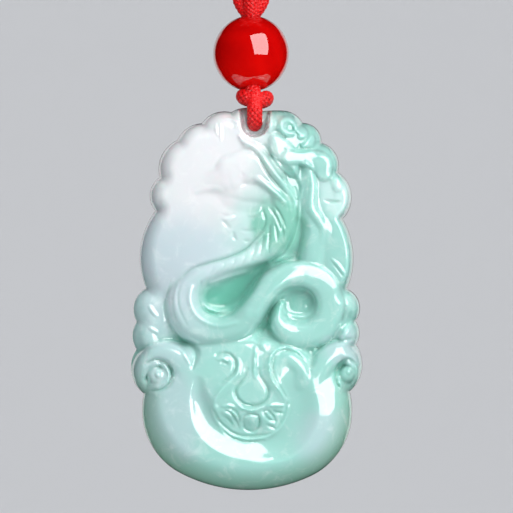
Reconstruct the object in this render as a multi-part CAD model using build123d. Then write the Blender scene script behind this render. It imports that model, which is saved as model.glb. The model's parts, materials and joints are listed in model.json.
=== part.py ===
"""Carved jade snake pendant on a red cord with a round agate bead. Millimetres, +Z up, front on -Y.

The origin is the top inside of the hanging loop, where the pendant hangs. From there down come the
upper knot, the drilled bead, the lower knot, the strand through the jade and the jade plaque.
"""
from build123d import *
from collections import namedtuple
import math
import os

import numpy as np

# Cord and knots
cord_diameter = 2.1
knot_gap = 0.05           # between a knot and what it rests on
strand_gap = 0.05         # between a strand's end and the knot that it enters
upper_knot_width = 4.9
upper_knot_depth = 4.4
upper_knot_height = 4.25
lower_knot_width = 5.0
lower_knot_depth = 7.9
knot_cup = 0.5            # how far the lower knot reaches up round the bead
loop_drop = 20.8          # from the top inside of the loop to the upper knot

# Bead
bead_diameter = 10.0
bore_clearance = 0.1      # around the cord in the bead

# Jade plaque
jade_width = 30.4
jade_height = 50.7
jade_front = 6.0          # deepest relief in front of the widest outline
jade_back = 1.8           # flat back behind the widest outline
rim_roll = 2.3            # how far in the front edge is rounded
hang_x = 0.5              # the hole and the lower knot, beside the bead's axis
hole_across = 0.065       # share of the half width, from the plaque's middle
hole_clearance = 0.15     # around the cord in the jade
hole_edge = 1.1           # jade left above the hole
mouth_depth = 0.6         # bevel of the hole's mouths
mouth_flare = 0.55
seat_front = 1.8          # thinned seat round the hole, in front of the widest outline
seat_radius = 2.6
seat_blend = 2.2
swing_gap = 0.45          # under the lower knot, so that the plaque swings free
bead_to_jade = 2.12

# Strand through the jade
bend_radius = 1.6
bend_inset = 0.35         # centre of the bend inside the jade's face
strand_lean = 14.0        # degrees, towards the knot above the jade

# Finish of the carved mesh
cells_across = 52
cells_up = 78
curve_steps = 5
ground_level = 0.42       # share of jade_front
foot_level = 0.25
lowest_level = 0.15
soft_blend = 0.12
crisp_blend = 0.04
body_power = 2.4          # 2 gives an elliptic section, more a squarer one
line_power = 1.5          # 1 gives a parabolic section, more a narrower one
corner_shift = 3          # ring cells from the top edge's middle notch to the grid's middle

ring_cells = 2 * (cells_across + cells_up)
first_cell = ring_cells - cells_across // 2 + corner_shift     # the grid's upper left corner
half_width = jade_width / 2
cord_radius = cord_diameter / 2
hole_radius = cord_radius + hole_clearance
bead_radius = bead_diameter / 2

upper_knot_top = -loop_drop
upper_knot_bottom = upper_knot_top - upper_knot_height
bead_top_edge = math.sqrt(bead_radius ** 2 - (cord_radius + bore_clearance) ** 2)
bead_z = upper_knot_bottom - knot_gap - bead_top_edge
jade_top = bead_z - bead_radius - bead_to_jade
jade_bottom = jade_top - jade_height
jade_x = hang_x - hole_across * half_width
hole_z = jade_top - hole_edge - hole_radius
lower_knot_bottom = jade_top + swing_gap
lower_knot_top = bead_z - bead_radius + knot_cup

# The rim's notches, clockwise from the one left of the hole. Each row's arc runs to the next row.
# across: share of the half width; up: share of the height; bulge: share of the arc's chord.
Notch = namedtuple("Notch", "across up bulge")
RIM = [Notch(*row) for row in (
    (-0.140, 0.987, 0.13), (0.135, 0.990, 0.02), (0.320, 0.991, 0.13), (0.480, 0.959, 0.22),
    (0.645, 0.907, 0.21), (0.790, 0.830, 0.24), (0.830, 0.708, 0.12), (0.870, 0.525, 0.25),
    (0.943, 0.442, 0.15), (0.950, 0.380, 0.19), (0.894, 0.257, 0.06), (0.895, 0.160, 0.10),
    (0.600, 0.044, 0.09), (0.000, 0.000, 0.09), (-0.600, 0.047, 0.10), (-0.895, 0.160, 0.06),
    (-0.902, 0.252, 0.20), (-0.967, 0.368, 0.16), (-0.965, 0.440, 0.22), (-0.882, 0.527, 0.13),
    (-0.803, 0.730, 0.22), (-0.765, 0.817, 0.18), (-0.611, 0.914, 0.14), (-0.395, 0.958, 0.16),
)]

# Broad swellings. wide and high: half sizes as shares of the half width and the height;
# top: share of jade_front; fullness: how square the dome's section is.
Dome = namedtuple("Dome", "across up wide high top fullness")
DOMES = {
    "shoulder": Dome(-0.40, 0.875, 0.52, 0.150, 0.80, 2.0),
    "top middle": Dome(-0.08, 0.930, 0.35, 0.090, 0.64, 2.0),
    "left swelling": Dome(-0.66, 0.635, 0.40, 0.175, 0.82, 2.0),
    "throat": Dome(-0.22, 0.675, 0.52, 0.110, 0.78, 2.0),
    "left flank": Dome(-0.86, 0.445, 0.26, 0.110, 0.62, 2.0),
    "right flank": Dome(0.84, 0.620, 0.32, 0.190, 0.66, 2.0),
    "right shoulder": Dome(0.70, 0.800, 0.42, 0.170, 0.66, 2.0),
    "top right": Dome(0.38, 0.930, 0.40, 0.100, 0.62, 2.0),
    "right side lobes": Dome(0.88, 0.450, 0.24, 0.130, 0.62, 2.0),
    "bowl": Dome(0.00, 0.225, 0.99, 0.245, 0.97, 2.4),
}

# Rounded bodies that follow a path: half_width is a share of the half width, height of jade_front.
Step = namedtuple("Step", "across up half_width height")
BANDS = {
    "snout": [Step(-0.40, 0.793, 0.095, 0.84), Step(-0.28, 0.808, 0.150, 0.88),
              Step(-0.14, 0.815, 0.200, 0.94)],
    "skull": [Step(-0.16, 0.825, 0.190, 0.92), Step(-0.02, 0.820, 0.200, 0.96),
              Step(0.12, 0.795, 0.170, 0.95)],
    "jowl": [Step(-0.12, 0.780, 0.110, 0.88), Step(0.00, 0.765, 0.120, 0.92),
             Step(0.14, 0.765, 0.130, 0.92)],
    "neck and left loop": [
        Step(0.18, 0.810, 0.110, 0.90), Step(0.285, 0.760, 0.125, 0.90), Step(0.295, 0.705, 0.130, 0.87),
        Step(0.235, 0.655, 0.122, 0.84), Step(0.110, 0.622, 0.105, 0.82), Step(-0.08, 0.597, 0.085, 0.80),
        Step(-0.28, 0.577, 0.085, 0.80), Step(-0.45, 0.550, 0.105, 0.82), Step(-0.55, 0.505, 0.150, 0.84),
        Step(-0.53, 0.458, 0.165, 0.86), Step(-0.42, 0.428, 0.150, 0.87), Step(-0.25, 0.420, 0.140, 0.88),
        Step(-0.08, 0.432, 0.132, 0.90), Step(0.03, 0.462, 0.128, 0.92)],
    "right coil": [
        Step(0.03, 0.462, 0.128, 0.92), Step(0.12, 0.505, 0.125, 0.94), Step(0.22, 0.540, 0.120, 0.96),
        Step(0.36, 0.562, 0.122, 0.98), Step(0.52, 0.563, 0.128, 0.99), Step(0.66, 0.540, 0.135, 0.98),
        Step(0.725, 0.495, 0.140, 0.95), Step(0.69, 0.445, 0.140, 0.92), Step(0.58, 0.414, 0.138, 0.90),
        Step(0.43, 0.408, 0.140, 0.88), Step(0.32, 0.420, 0.125, 0.87), Step(0.27, 0.445, 0.090, 0.84)],
    "stalk": [
        Step(0.52, 0.845, 0.045, 0.68), Step(0.555, 0.810, 0.075, 0.76), Step(0.555, 0.765, 0.095, 0.78),
        Step(0.575, 0.735, 0.100, 0.78), Step(0.630, 0.700, 0.110, 0.78), Step(0.655, 0.660, 0.125, 0.78),
        Step(0.620, 0.620, 0.140, 0.74)],
    "fungus cap": [Step(0.26, 0.905, 0.075, 0.72), Step(0.40, 0.872, 0.095, 0.82),
                   Step(0.56, 0.872, 0.120, 0.80), Step(0.67, 0.850, 0.090, 0.72)],
    "fungus curl": [Step(0.33, 0.938, 0.085, 0.74), Step(0.42, 0.930, 0.095, 0.76),
                    Step(0.53, 0.912, 0.090, 0.72)],
    "upper right lobe": [Step(0.78, 0.800, 0.110, 0.74), Step(0.80, 0.765, 0.100, 0.76),
                         Step(0.77, 0.725, 0.090, 0.72)],
    "left rim lobe": [Step(-0.86, 0.492, 0.110, 0.66), Step(-0.88, 0.462, 0.090, 0.64)],
    "left low lobe": [Step(-0.90, 0.425, 0.095, 0.66), Step(-0.88, 0.395, 0.110, 0.66)],
    "right rim lobe": [Step(0.89, 0.490, 0.090, 0.66), Step(0.89, 0.455, 0.080, 0.64)],
    "right low lobe": [Step(0.90, 0.420, 0.090, 0.70), Step(0.88, 0.398, 0.110, 0.72)],
    "left scroll": [
        Step(-0.46, 0.262, 0.160, 0.94), Step(-0.52, 0.310, 0.150, 0.92), Step(-0.63, 0.345, 0.130, 0.89),
        Step(-0.78, 0.352, 0.120, 0.84), Step(-0.90, 0.325, 0.090, 0.78), Step(-0.925, 0.292, 0.070, 0.70)],
    "right scroll": [
        Step(0.50, 0.262, 0.160, 0.94), Step(0.59, 0.300, 0.125, 0.92), Step(0.66, 0.335, 0.120, 0.89),
        Step(0.78, 0.358, 0.110, 0.85), Step(0.90, 0.348, 0.090, 0.78), Step(0.945, 0.318, 0.065, 0.70)],
    "left boss": [Step(-0.785, 0.303, 0.105, 0.80), Step(-0.775, 0.300, 0.105, 0.80)],
    "right boss": [Step(0.870, 0.300, 0.095, 0.80), Step(0.880, 0.298, 0.095, 0.80)],
    "left inner lobe": [Step(-0.42, 0.300, 0.140, 0.90), Step(-0.38, 0.330, 0.130, 0.88),
                        Step(-0.26, 0.345, 0.110, 0.86), Step(-0.16, 0.345, 0.080, 0.86)],
    "right inner lobe": [Step(0.25, 0.340, 0.070, 0.86), Step(0.34, 0.345, 0.090, 0.87),
                         Step(0.43, 0.335, 0.110, 0.89), Step(0.48, 0.305, 0.120, 0.91)],
}

# Low relief laid over the forms above: raised where height is positive, cut where it is negative.
LINES = {
    "drop hollow": [Step(0.17, 0.588, 0.030, -0.10), Step(0.08, 0.565, 0.055, -0.22),
                    Step(-0.04, 0.540, 0.100, -0.26), Step(-0.16, 0.518, 0.130, -0.26),
                    Step(-0.27, 0.508, 0.120, -0.26)],
    "coil hollow": [Step(0.40, 0.488, 0.140, -0.26), Step(0.48, 0.486, 0.140, -0.26)],
    "neck hollow": [Step(0.45, 0.690, 0.050, -0.10), Step(0.48, 0.665, 0.085, -0.16),
                    Step(0.44, 0.640, 0.070, -0.10)],
    "gap by the crest": [Step(0.26, 0.865, 0.080, -0.12), Step(0.36, 0.830, 0.070, -0.14),
                         Step(0.43, 0.790, 0.060, -0.12), Step(0.43, 0.740, 0.040, -0.08)],
    "left eye of the ruyi": [Step(-0.27, 0.322, 0.080, -0.05), Step(-0.18, 0.318, 0.085, -0.09)],
    "right eye of the ruyi": [Step(0.27, 0.322, 0.070, -0.09), Step(0.36, 0.318, 0.090, -0.05)],
    "left edge of the ruyi": [Step(-0.14, 0.372, 0.050, 0.04), Step(-0.085, 0.350, 0.050, 0.06),
                              Step(-0.075, 0.318, 0.045, 0.06), Step(-0.10, 0.295, 0.050, 0.05),
                              Step(-0.17, 0.272, 0.065, 0.05), Step(-0.23, 0.245, 0.065, 0.03)],
    "right edge of the ruyi": [Step(0.20, 0.366, 0.050, 0.04), Step(0.17, 0.345, 0.050, 0.06),
                               Step(0.17, 0.312, 0.045, 0.06), Step(0.21, 0.288, 0.050, 0.06),
                               Step(0.28, 0.265, 0.060, 0.05), Step(0.30, 0.240, 0.065, 0.03)],
    "stem": [Step(0.060, 0.385, 0.075, 0.06), Step(0.055, 0.340, 0.070, 0.09),
             Step(0.045, 0.300, 0.090, 0.09)],
    "bulb": [Step(0.035, 0.268, 0.140, 0.09), Step(0.035, 0.256, 0.140, 0.09)],
    "disc edge": [Step(-0.27, 0.225, 0.045, 0.03), Step(-0.21, 0.180, 0.045, 0.05),
                  Step(-0.09, 0.153, 0.045, 0.05), Step(0.03, 0.148, 0.045, 0.05),
                  Step(0.16, 0.154, 0.045, 0.05), Step(0.28, 0.184, 0.045, 0.05),
                  Step(0.325, 0.228, 0.045, 0.03)],
    "disc ground": [Step(-0.12, 0.200, 0.120, -0.03), Step(0.03, 0.195, 0.120, -0.03),
                    Step(0.18, 0.200, 0.120, -0.03)],
    "pearl": [Step(0.030, 0.178, 0.062, 0.06), Step(0.030, 0.174, 0.062, 0.06)],
    "crest": [Step(0.02, 0.908, 0.045, 0.06), Step(0.13, 0.880, 0.050, 0.14),
              Step(0.20, 0.845, 0.050, 0.12), Step(0.29, 0.810, 0.045, 0.10),
              Step(0.37, 0.770, 0.040, 0.05)],
    "second crest": [Step(0.11, 0.808, 0.035, 0.03), Step(0.18, 0.788, 0.045, 0.06),
                     Step(0.27, 0.767, 0.040, 0.05), Step(0.35, 0.748, 0.035, 0.02)],
    "jaw crease": [Step(-0.45, 0.765, 0.050, -0.06), Step(-0.30, 0.764, 0.060, -0.10),
                   Step(-0.21, 0.752, 0.050, -0.12), Step(-0.12, 0.732, 0.045, -0.12),
                   Step(0.00, 0.725, 0.045, -0.10), Step(0.11, 0.738, 0.035, -0.05)],
    "coil joint": [Step(0.10, 0.402, 0.040, -0.08), Step(0.16, 0.410, 0.050, -0.16),
                   Step(0.21, 0.400, 0.040, -0.16), Step(0.28, 0.385, 0.030, -0.08)],
    "left triangle": [Step(-0.52, 0.385, 0.030, -0.06), Step(-0.47, 0.370, 0.050, -0.14),
                      Step(-0.44, 0.345, 0.035, -0.10)],
    "right triangle": [Step(0.50, 0.366, 0.035, -0.06), Step(0.545, 0.358, 0.055, -0.14),
                       Step(0.545, 0.325, 0.030, -0.08)],
    "left ring": [Step(-0.88, 0.318, 0.035, -0.03), Step(-0.80, 0.338, 0.035, -0.07),
                  Step(-0.70, 0.330, 0.035, -0.08), Step(-0.66, 0.302, 0.035, -0.07),
                  Step(-0.69, 0.276, 0.035, -0.04)],
    "right ring": [Step(0.775, 0.285, 0.035, -0.04), Step(0.765, 0.310, 0.035, -0.06),
                   Step(0.80, 0.334, 0.035, -0.08), Step(0.89, 0.336, 0.035, -0.06),
                   Step(0.955, 0.315, 0.030, -0.04)],
}

# The flat back's rolled edge: how far the outline is drawn in, and the share of jade_back reached.
Roll = namedtuple("Roll", "scale depth")
BACK_ROLL = [Roll(0.985, 0.45), Roll(0.950, 0.80), Roll(0.900, 1.00)]

# Sections of the knots, from the bottom up, as shares of the knot's height, width and depth.
Section = namedtuple("Section", "up wide deep")
LOWER_KNOT = [Section(0.00, 0.86, 0.96), Section(0.30, 1.00, 1.00), Section(0.55, 0.93, 0.92),
              Section(0.80, 0.98, 0.84), Section(1.00, 0.84, 0.66)]
UPPER_KNOT = [Section(0.00, 0.46, 0.50), Section(0.22, 0.80, 0.84), Section(0.50, 1.00, 1.00),
              Section(0.76, 0.96, 0.92), Section(1.00, 0.92, 0.66)]

# Corners of the hanging loop's route, x and z, between its two ends in the upper knot.
LOOP_ROUTE = [
    (1.60, -18.80), (3.40, -15.70), (5.75, -12.30), (7.80, -8.70), (7.85, -4.70), (5.80, -1.10),
    (2.15, 1.10), (-2.05, 1.00), (-5.70, -1.00), (-7.80, -4.60), (-7.85, -8.70), (-5.85, -12.30),
    (-3.30, -15.60), (-1.60, -18.80),
]
LARGEST_SHARE = 0.45      # of the shorter run beside a corner, taken by its arc


def spline(rows):
    """Smooth path through the rows, with every column carried along."""
    knots = [np.array(row, float) for row in rows]
    knots = [2 * knots[0] - knots[1], *knots, 2 * knots[-1] - knots[-2]]
    points = []
    for a, b, c, d in zip(knots, knots[1:], knots[2:], knots[3:]):
        for step in range(curve_steps):
            t = step / curve_steps
            points.append(b + (c - a) * t / 2 + (2 * a - 5 * b + 4 * c - d) * t ** 2 / 2
                          + (3 * b - a - 3 * c + d) * t ** 3 / 2)
    points.append(knots[-2])
    return np.array(points)


def arc_points(first, second, bulge, count):
    """Points of the rim's arc from one notch towards the next, without its end."""
    chord = second - first
    length = np.hypot(*chord)
    outward = np.array([-chord[1], chord[0]]) / length
    along = chord / length
    rise = bulge * length
    radius = (length ** 2 / 4 + rise ** 2) / (2 * rise)
    centre = (first + second) / 2 - outward * (radius - rise)
    half = math.asin(length / 2 / radius)
    turns = half - 2 * half * np.arange(count)[:, None] / count
    return centre + radius * (outward * np.cos(turns) - along * np.sin(turns))


def rim_ring():
    """The plaque's outline as one ring of points, a whole number of cells to each arc."""
    notches = [np.array([row.across * half_width, row.up * jade_height]) for row in RIM]
    pairs = list(zip(notches, notches[1:] + notches[:1], RIM))
    lengths = [np.hypot(*(b - a)) * (1 + 8 / 3 * row.bulge ** 2) for a, b, row in pairs]
    marks = np.rint(np.cumsum([0] + lengths) / sum(lengths) * ring_cells).astype(int)
    arcs = [arc_points(a, b, row.bulge, count) for (a, b, row), count in zip(pairs, np.diff(marks))]
    return np.roll(np.vstack(arcs), -first_cell, axis=0)


def fill_outline(ring):
    """Grid of points over the outline, its four sides being the ring's four stretches."""
    nu, nv = cells_across, cells_up
    closed = np.vstack([ring, ring[:1]])
    top, right = closed[:nu + 1], closed[nu:nu + nv + 1]
    bottom, left = closed[nu + nv:2 * nu + nv + 1][::-1], closed[2 * nu + nv:][::-1]
    s = np.linspace(0, 1, nu + 1)[:, None, None]
    t = np.linspace(0, 1, nv + 1)[None, :, None]
    edges = (1 - t) * top[:, None] + t * bottom[:, None] + (1 - s) * left[None] + s * right[None]
    corners = ((1 - s) * (1 - t) * top[0] + s * (1 - t) * top[-1]
               + (1 - s) * t * bottom[0] + s * t * bottom[-1])
    return edges - corners


def rim_distance(points, ring):
    """Distance of each point from the outline."""
    nearest = np.full(len(points), jade_height)
    for a, b in zip(ring, np.roll(ring, -1, axis=0)):
        run = b - a
        t = np.clip((points - a) @ run / (run @ run), 0, 1)
        nearest = np.minimum(nearest, np.hypot(*(points - a - t[:, None] * run).T))
    return nearest


def blend_max(first, second, width):
    """The larger of two levels, with the crease between them filled over a small width."""
    overlap = np.maximum(width - np.abs(first - second), 0) / width
    return np.maximum(first, second) + overlap ** 2 * width / 4


def stroke(points, rows, profile):
    """Largest value of a profile carried along the rows' path."""
    path = spline(rows)
    places = path[:, :2] * (half_width, jade_height)
    widths = path[:, 2] * half_width
    heights = path[:, 3]
    largest = np.zeros(len(points))
    for k in range(len(path) - 1):
        run = places[k + 1] - places[k]
        t = np.clip((points - places[k]) @ run / (run @ run), 0, 1)
        width = widths[k] + (widths[k + 1] - widths[k]) * t
        height = heights[k] + (heights[k + 1] - heights[k]) * t
        away = np.hypot(*(points - places[k] - t[:, None] * run).T) / width
        largest = np.maximum(largest, profile(np.minimum(away, 1), height))
    return largest


def body_profile(away, height, power=body_power):
    """Round section of a carved body, from its crest to its foot."""
    rise = np.sqrt(1 - away ** power)
    return np.where(away < 1, foot_level + (height - foot_level) * rise, 0)


def line_profile(away, height):
    """Soft section of a low ridge or a cut."""
    return height * (1 - away ** 2) ** line_power


def dome_level(points, dome):
    """Level of one broad swelling."""
    away = np.hypot((points[:, 0] / half_width - dome.across) / dome.wide,
                    (points[:, 1] / jade_height - dome.up) / dome.high)
    return body_profile(np.minimum(away, 1), dome.top, dome.fullness)


def front_relief(points, ring):
    """How far the carved front stands before the widest outline, at each point."""
    level = np.full(len(points), ground_level)
    for dome in DOMES.values():
        level = blend_max(level, dome_level(points, dome), soft_blend)
    for rows in BANDS.values():
        level = blend_max(level, stroke(points, rows, body_profile), crisp_blend)
    for rows in LINES.values():
        sign = math.copysign(1, rows[0].height)
        level = level + sign * stroke(points, [row._replace(height=abs(row.height)) for row in rows],
                                      line_profile)
    relief = np.maximum(level, lowest_level) * jade_front
    hole = np.array([hole_across * half_width, hole_z - jade_bottom])
    from_hole = np.hypot(*(points - hole).T)
    ease = np.clip((from_hole - seat_radius) / seat_blend, 0, 1)
    relief = seat_front + (relief - seat_front) * ease ** 2 * (3 - 2 * ease)
    inward = np.clip(1 - rim_distance(points, ring) / rim_roll, 0, 1)
    return relief * np.sqrt(1 - inward ** 2)


def triangle(*corners):
    """One flat facet."""
    return Face(Wire.make_polygon([Vector(*corner) for corner in corners]))


def jade_solid():
    """The plaque: a grid of facets in front, a rolled edge and a flat back behind, and the hole."""
    ring = rim_ring()
    grid = fill_outline(ring)
    relief = front_relief(grid.reshape(-1, 2), ring).reshape(grid.shape[:2])
    relief[0], relief[-1], relief[:, 0], relief[:, -1] = 0, 0, 0, 0

    def place(point, depth):
        return point[0] + jade_x, -depth, point[1] + jade_bottom

    faces = []
    for i in range(cells_across):
        for j in range(cells_up):
            a, b, c, d = (place(grid[m, n], relief[m, n])
                          for m, n in ((i, j), (i + 1, j), (i + 1, j + 1), (i, j + 1)))
            if (i < cells_across / 2) == (j < cells_up / 2):
                faces += [triangle(a, b, c), triangle(a, c, d)]
            else:
                faces += [triangle(a, b, d), triangle(b, c, d)]
    middle = ring.mean(axis=0)
    outer = [place(point, 0) for point in ring]
    for roll in BACK_ROLL:
        inner = [place(middle + (point - middle) * roll.scale, -roll.depth * jade_back) for point in ring]
        for k in range(len(ring)):
            following = (k + 1) % len(ring)
            faces.append(triangle(outer[k], outer[following], inner[following]))
            faces.append(triangle(outer[k], inner[following], inner[k]))
        outer = inner
    faces.append(Face(Wire.make_polygon([Vector(*point) for point in outer])))
    plaque = Solid(Shell(faces))
    return plaque - hole_cutter()


def hole_cutter():
    """The drilled hole through the seat, with a bevelled mouth at both faces."""
    reach = jade_front + jade_back
    profile = [(0, -reach), (hole_radius + mouth_flare, -reach), (hole_radius + mouth_flare, -seat_front),
               (hole_radius, mouth_depth - seat_front), (hole_radius, jade_back - mouth_depth),
               (hole_radius + mouth_flare, jade_back), (hole_radius + mouth_flare, reach), (0, reach)]
    face = Face(Wire.make_polygon([Vector(radius, along, 0) for radius, along in profile]))
    return Pos(hang_x, 0, hole_z) * revolve(face, Axis.Y)


def cord_tube(points, radii, name):
    """Round cord along straight runs joined by tangent arcs; prints its radii and volume."""
    path = FilletPolyline(*points, radius=radii)
    tube = sweep(Plane(path @ 0, z_dir=path % 0) * Circle(cord_radius), path=path)
    expected = math.pi * cord_radius ** 2 * path.length
    print(name, "length", round(path.length, 2), "radii", [round(radius, 2) for radius in radii],
          "volume over section times length", round(tube.volume / expected, 4))
    return tube


def route_radii(points):
    """The largest arc that each corner's two runs allow."""
    radii = []
    for before, corner, after in zip(points, points[1:], points[2:]):
        arriving, leaving = Vector(*corner) - Vector(*before), Vector(*after) - Vector(*corner)
        half_turn = math.radians(arriving.get_angle(leaving)) / 2
        radii.append(LARGEST_SHARE * min(arriving.length, leaving.length) / math.tan(half_turn))
    return radii


def slab(bottom, top):
    """A block that keeps what lies between two heights."""
    size = 10 * bead_diameter
    return Pos(0, 0, (bottom + top) / 2) * Box(size, size, top - bottom)


def hanging_loop():
    """The eye of cord above the upper knot, its two ends side by side on the knot."""
    foot = upper_knot_top + strand_gap
    spread = cord_radius + strand_gap
    inside = upper_knot_top - cord_radius
    route = [(spread, inside), *LOOP_ROUTE, (-spread, inside)]
    points = [(x, 0, z) for x, z in route]
    tube = cord_tube(points, route_radii(points), "hanging_loop")
    return tube & slab(foot, 2 * cord_diameter)


def jade_loop():
    """The strand that goes down before the jade, through the hole and up behind it."""
    turn = math.radians(90 + strand_lean)
    tangent = bend_radius * math.tan(turn / 2)
    top = lower_knot_bottom + cord_diameter
    slope = math.tan(math.radians(strand_lean))
    front = -(seat_front - bend_inset + tangent)
    back = jade_back - bend_inset + tangent
    rise = top - hole_z
    points = [(hang_x, front + slope * rise, top), (hang_x, front, hole_z),
              (hang_x, back, hole_z), (hang_x, back - slope * rise, top)]
    tube = cord_tube(points, [bend_radius, bend_radius], "jade_loop")
    return tube & slab(hole_z - cord_diameter, lower_knot_bottom - strand_gap)


def knot(sections, x, bottom, top, width, depth):
    """A knot's outer form, lofted through its sections and hollowed where the bead sits in it."""
    height = top - bottom
    faces = [Pos(x, 0, bottom + row.up * height) * Ellipse(row.wide * width / 2, row.deep * depth / 2)
             for row in sections]
    return loft(faces) - Pos(0, 0, bead_z) * Sphere(bead_radius + knot_gap)


def agate_bead():
    """The round bead with its bore."""
    bore = Cylinder(cord_radius + bore_clearance, 2 * bead_diameter)
    return Pos(0, 0, bead_z) * (Sphere(bead_radius) - bore)


def bead_core():
    """The cord inside the bead, from one mouth of the bore to the other."""
    reach = math.sqrt(bead_radius ** 2 - cord_radius ** 2)
    return Pos(0, 0, bead_z) * Cylinder(cord_radius, 2 * reach)


def main():
    """Build every piece and write its file."""
    pieces = {
        "jade_plaque": jade_solid(),
        "jade_loop": jade_loop(),
        "lower_knot": knot(LOWER_KNOT, hang_x, lower_knot_bottom, lower_knot_top,
                           lower_knot_width, lower_knot_depth),
        "agate_bead": agate_bead(),
        "bead_core": bead_core(),
        "upper_knot": knot(UPPER_KNOT, 0, upper_knot_bottom, upper_knot_top,
                           upper_knot_width, upper_knot_depth),
        "hanging_loop": hanging_loop(),
    }
    os.makedirs("parts", exist_ok=True)
    for name, piece in pieces.items():
        export_step(piece, f"parts/{name}.step")


main()
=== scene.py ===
"""A carved jade snake pendant on a red braided cord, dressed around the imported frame.

Everything is in metres in the frame's axes: +Z up along the hanging pendant, -Y out of its carved
front. Sizes that belong to the maker's bench are given in millimetres and turned by MM.
"""
from __future__ import annotations

import json
import logging
import math
from dataclasses import dataclass
from enum import Enum
from typing import NamedTuple

import bpy
import numpy as np
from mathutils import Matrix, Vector


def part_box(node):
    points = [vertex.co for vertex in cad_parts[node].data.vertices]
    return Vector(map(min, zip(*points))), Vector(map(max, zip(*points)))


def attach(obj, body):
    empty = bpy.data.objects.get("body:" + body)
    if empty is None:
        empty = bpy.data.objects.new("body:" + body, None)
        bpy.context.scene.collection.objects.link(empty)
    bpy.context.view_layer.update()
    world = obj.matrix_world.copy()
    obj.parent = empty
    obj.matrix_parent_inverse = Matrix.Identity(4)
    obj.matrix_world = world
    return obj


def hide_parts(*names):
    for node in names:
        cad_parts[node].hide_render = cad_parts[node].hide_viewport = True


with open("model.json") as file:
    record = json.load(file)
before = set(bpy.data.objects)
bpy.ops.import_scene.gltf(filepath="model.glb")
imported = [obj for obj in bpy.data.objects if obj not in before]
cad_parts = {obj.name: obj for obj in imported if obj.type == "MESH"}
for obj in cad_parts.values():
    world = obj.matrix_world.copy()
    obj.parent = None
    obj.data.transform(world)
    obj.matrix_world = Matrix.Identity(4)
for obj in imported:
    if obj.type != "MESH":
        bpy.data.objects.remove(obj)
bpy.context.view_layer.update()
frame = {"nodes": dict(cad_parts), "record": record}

LOG = logging.getLogger("jade_pendant")
MM = 0.001
WAVE_LENGTH = 2 * math.pi / 20    # how far apart a wave texture's bands lie at scale 1


class Body(Enum):
    """The two rigid bodies that the pieces ride on."""

    HANGER = "hanger"
    PLAQUE = "plaque"


class Slot(Enum):
    """The record's material slots."""

    JADE = "jade"
    AGATE = "agate"
    CORD = "cord"


class Section(Enum):
    """How a carved form meets what lies under it."""

    ROUND = "round"       # a body that stands on the ground by itself
    FLAT = "flat"         # a plate with a flat top and steep sides, laid on the forms below
    LOW = "low"           # low relief, raised on or cut into the forms below
    FINE = "fine"         # the crisp flanks of a graver's cut


class Notch(NamedTuple):
    """A notch of the rim; its arc runs clockwise to the next one."""

    across: float         # share of the half width
    up: float             # share of the height
    bulge: float          # share of the arc's chord


class Dome(NamedTuple):
    """A broad swelling; wide and high are half sizes, top is a share of the relief."""

    across: float
    up: float
    wide: float
    high: float
    top: float
    power: float


class Step(NamedTuple):
    """One station of a carved form that follows a path."""

    across: float
    up: float
    half_width: float     # share of the half width
    height: float         # share of the relief
    fullness: float = 3.0     # how square a round body's section is


class Graver(NamedTuple):
    """A fine stroke: negative depth is cut, positive is left standing."""

    depth: float          # share of the relief
    half_width: float     # millimetres
    points: tuple         # places as shares of the half width and the height


class Oval(NamedTuple):
    """A soft-edged oval of the stone's colour, in shares of the plaque's half width and height."""

    across: float
    up: float
    wide: float           # half sizes
    high: float


class SoftBox(NamedTuple):
    """A lamp, placed by degrees to the right of the camera and above it, seen from what it lights."""

    name: str
    right: float
    up: float
    away: float           # metres
    wide: float
    high: float
    radiance: float
    behind: float = 0.0   # how far behind the pendant it is aimed, in metres
    glossy: bool = True   # whether it is mirrored in the pieces


class Bight(NamedTuple):
    """A point of a knot's strand, in millimetres from the middle of the knot's foot."""

    x: float
    y: float
    z: float


def stations(table: dict[str, list[tuple]]) -> dict[str, list[Step]]:
    """Name the columns of a table's rows: across, up, half width, height and fullness."""
    return {name: [Step(*row) for row in rows] for name, rows in table.items()}


RIM = [Notch(*row) for row in (
    (-0.14, 0.987, 0.13), (0.135, 0.99, 0.02), (0.32, 0.991, 0.13), (0.48, 0.959, 0.22),
    (0.645, 0.907, 0.21), (0.79, 0.83, 0.24), (0.83, 0.708, 0.12), (0.87, 0.525, 0.25),
    (0.943, 0.442, 0.15), (0.95, 0.38, 0.19), (0.894, 0.257, 0.06), (0.895, 0.16, 0.1),
    (0.6, 0.044, 0.126), (-0.6, 0.047, 0.1), (-0.895, 0.16, 0.06),
    (-0.902, 0.252, 0.2), (-0.967, 0.368, 0.16), (-0.965, 0.44, 0.22), (-0.882, 0.527, 0.13),
    (-0.803, 0.73, 0.22), (-0.765, 0.817, 0.18), (-0.611, 0.914, 0.14), (-0.395, 0.958, 0.16),
)]

DOMES = {
    "shoulder": Dome(-0.2, 0.85, 0.88, 0.22, 0.76, 5.0),
    "left swelling": Dome(-0.5, 0.745, 0.74, 0.29, 0.82, 3.0),
    "throat": Dome(0.06, 0.735, 0.6, 0.15, 0.84, 2.4),
    "left flank": Dome(-0.88, 0.445, 0.32, 0.12, 0.64, 2.4),
    "right flank": Dome(1.05, 0.65, 0.62, 0.24, 0.87, 3.0),
    "right shoulder": Dome(1.0, 0.785, 0.66, 0.22, 0.8, 3.0),
    "top right": Dome(0.2, 0.84, 0.76, 0.185, 0.64, 2.4),
    "right side lobes": Dome(0.9, 0.45, 0.28, 0.13, 0.64, 2.4),
    "inside the coil": Dome(0.45, 0.495, 0.26, 0.085, 0.62, 4.0),
    "bowl": Dome(0.0, 0.19, 1.03, 0.235, 0.98, 5.0),
}

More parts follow.
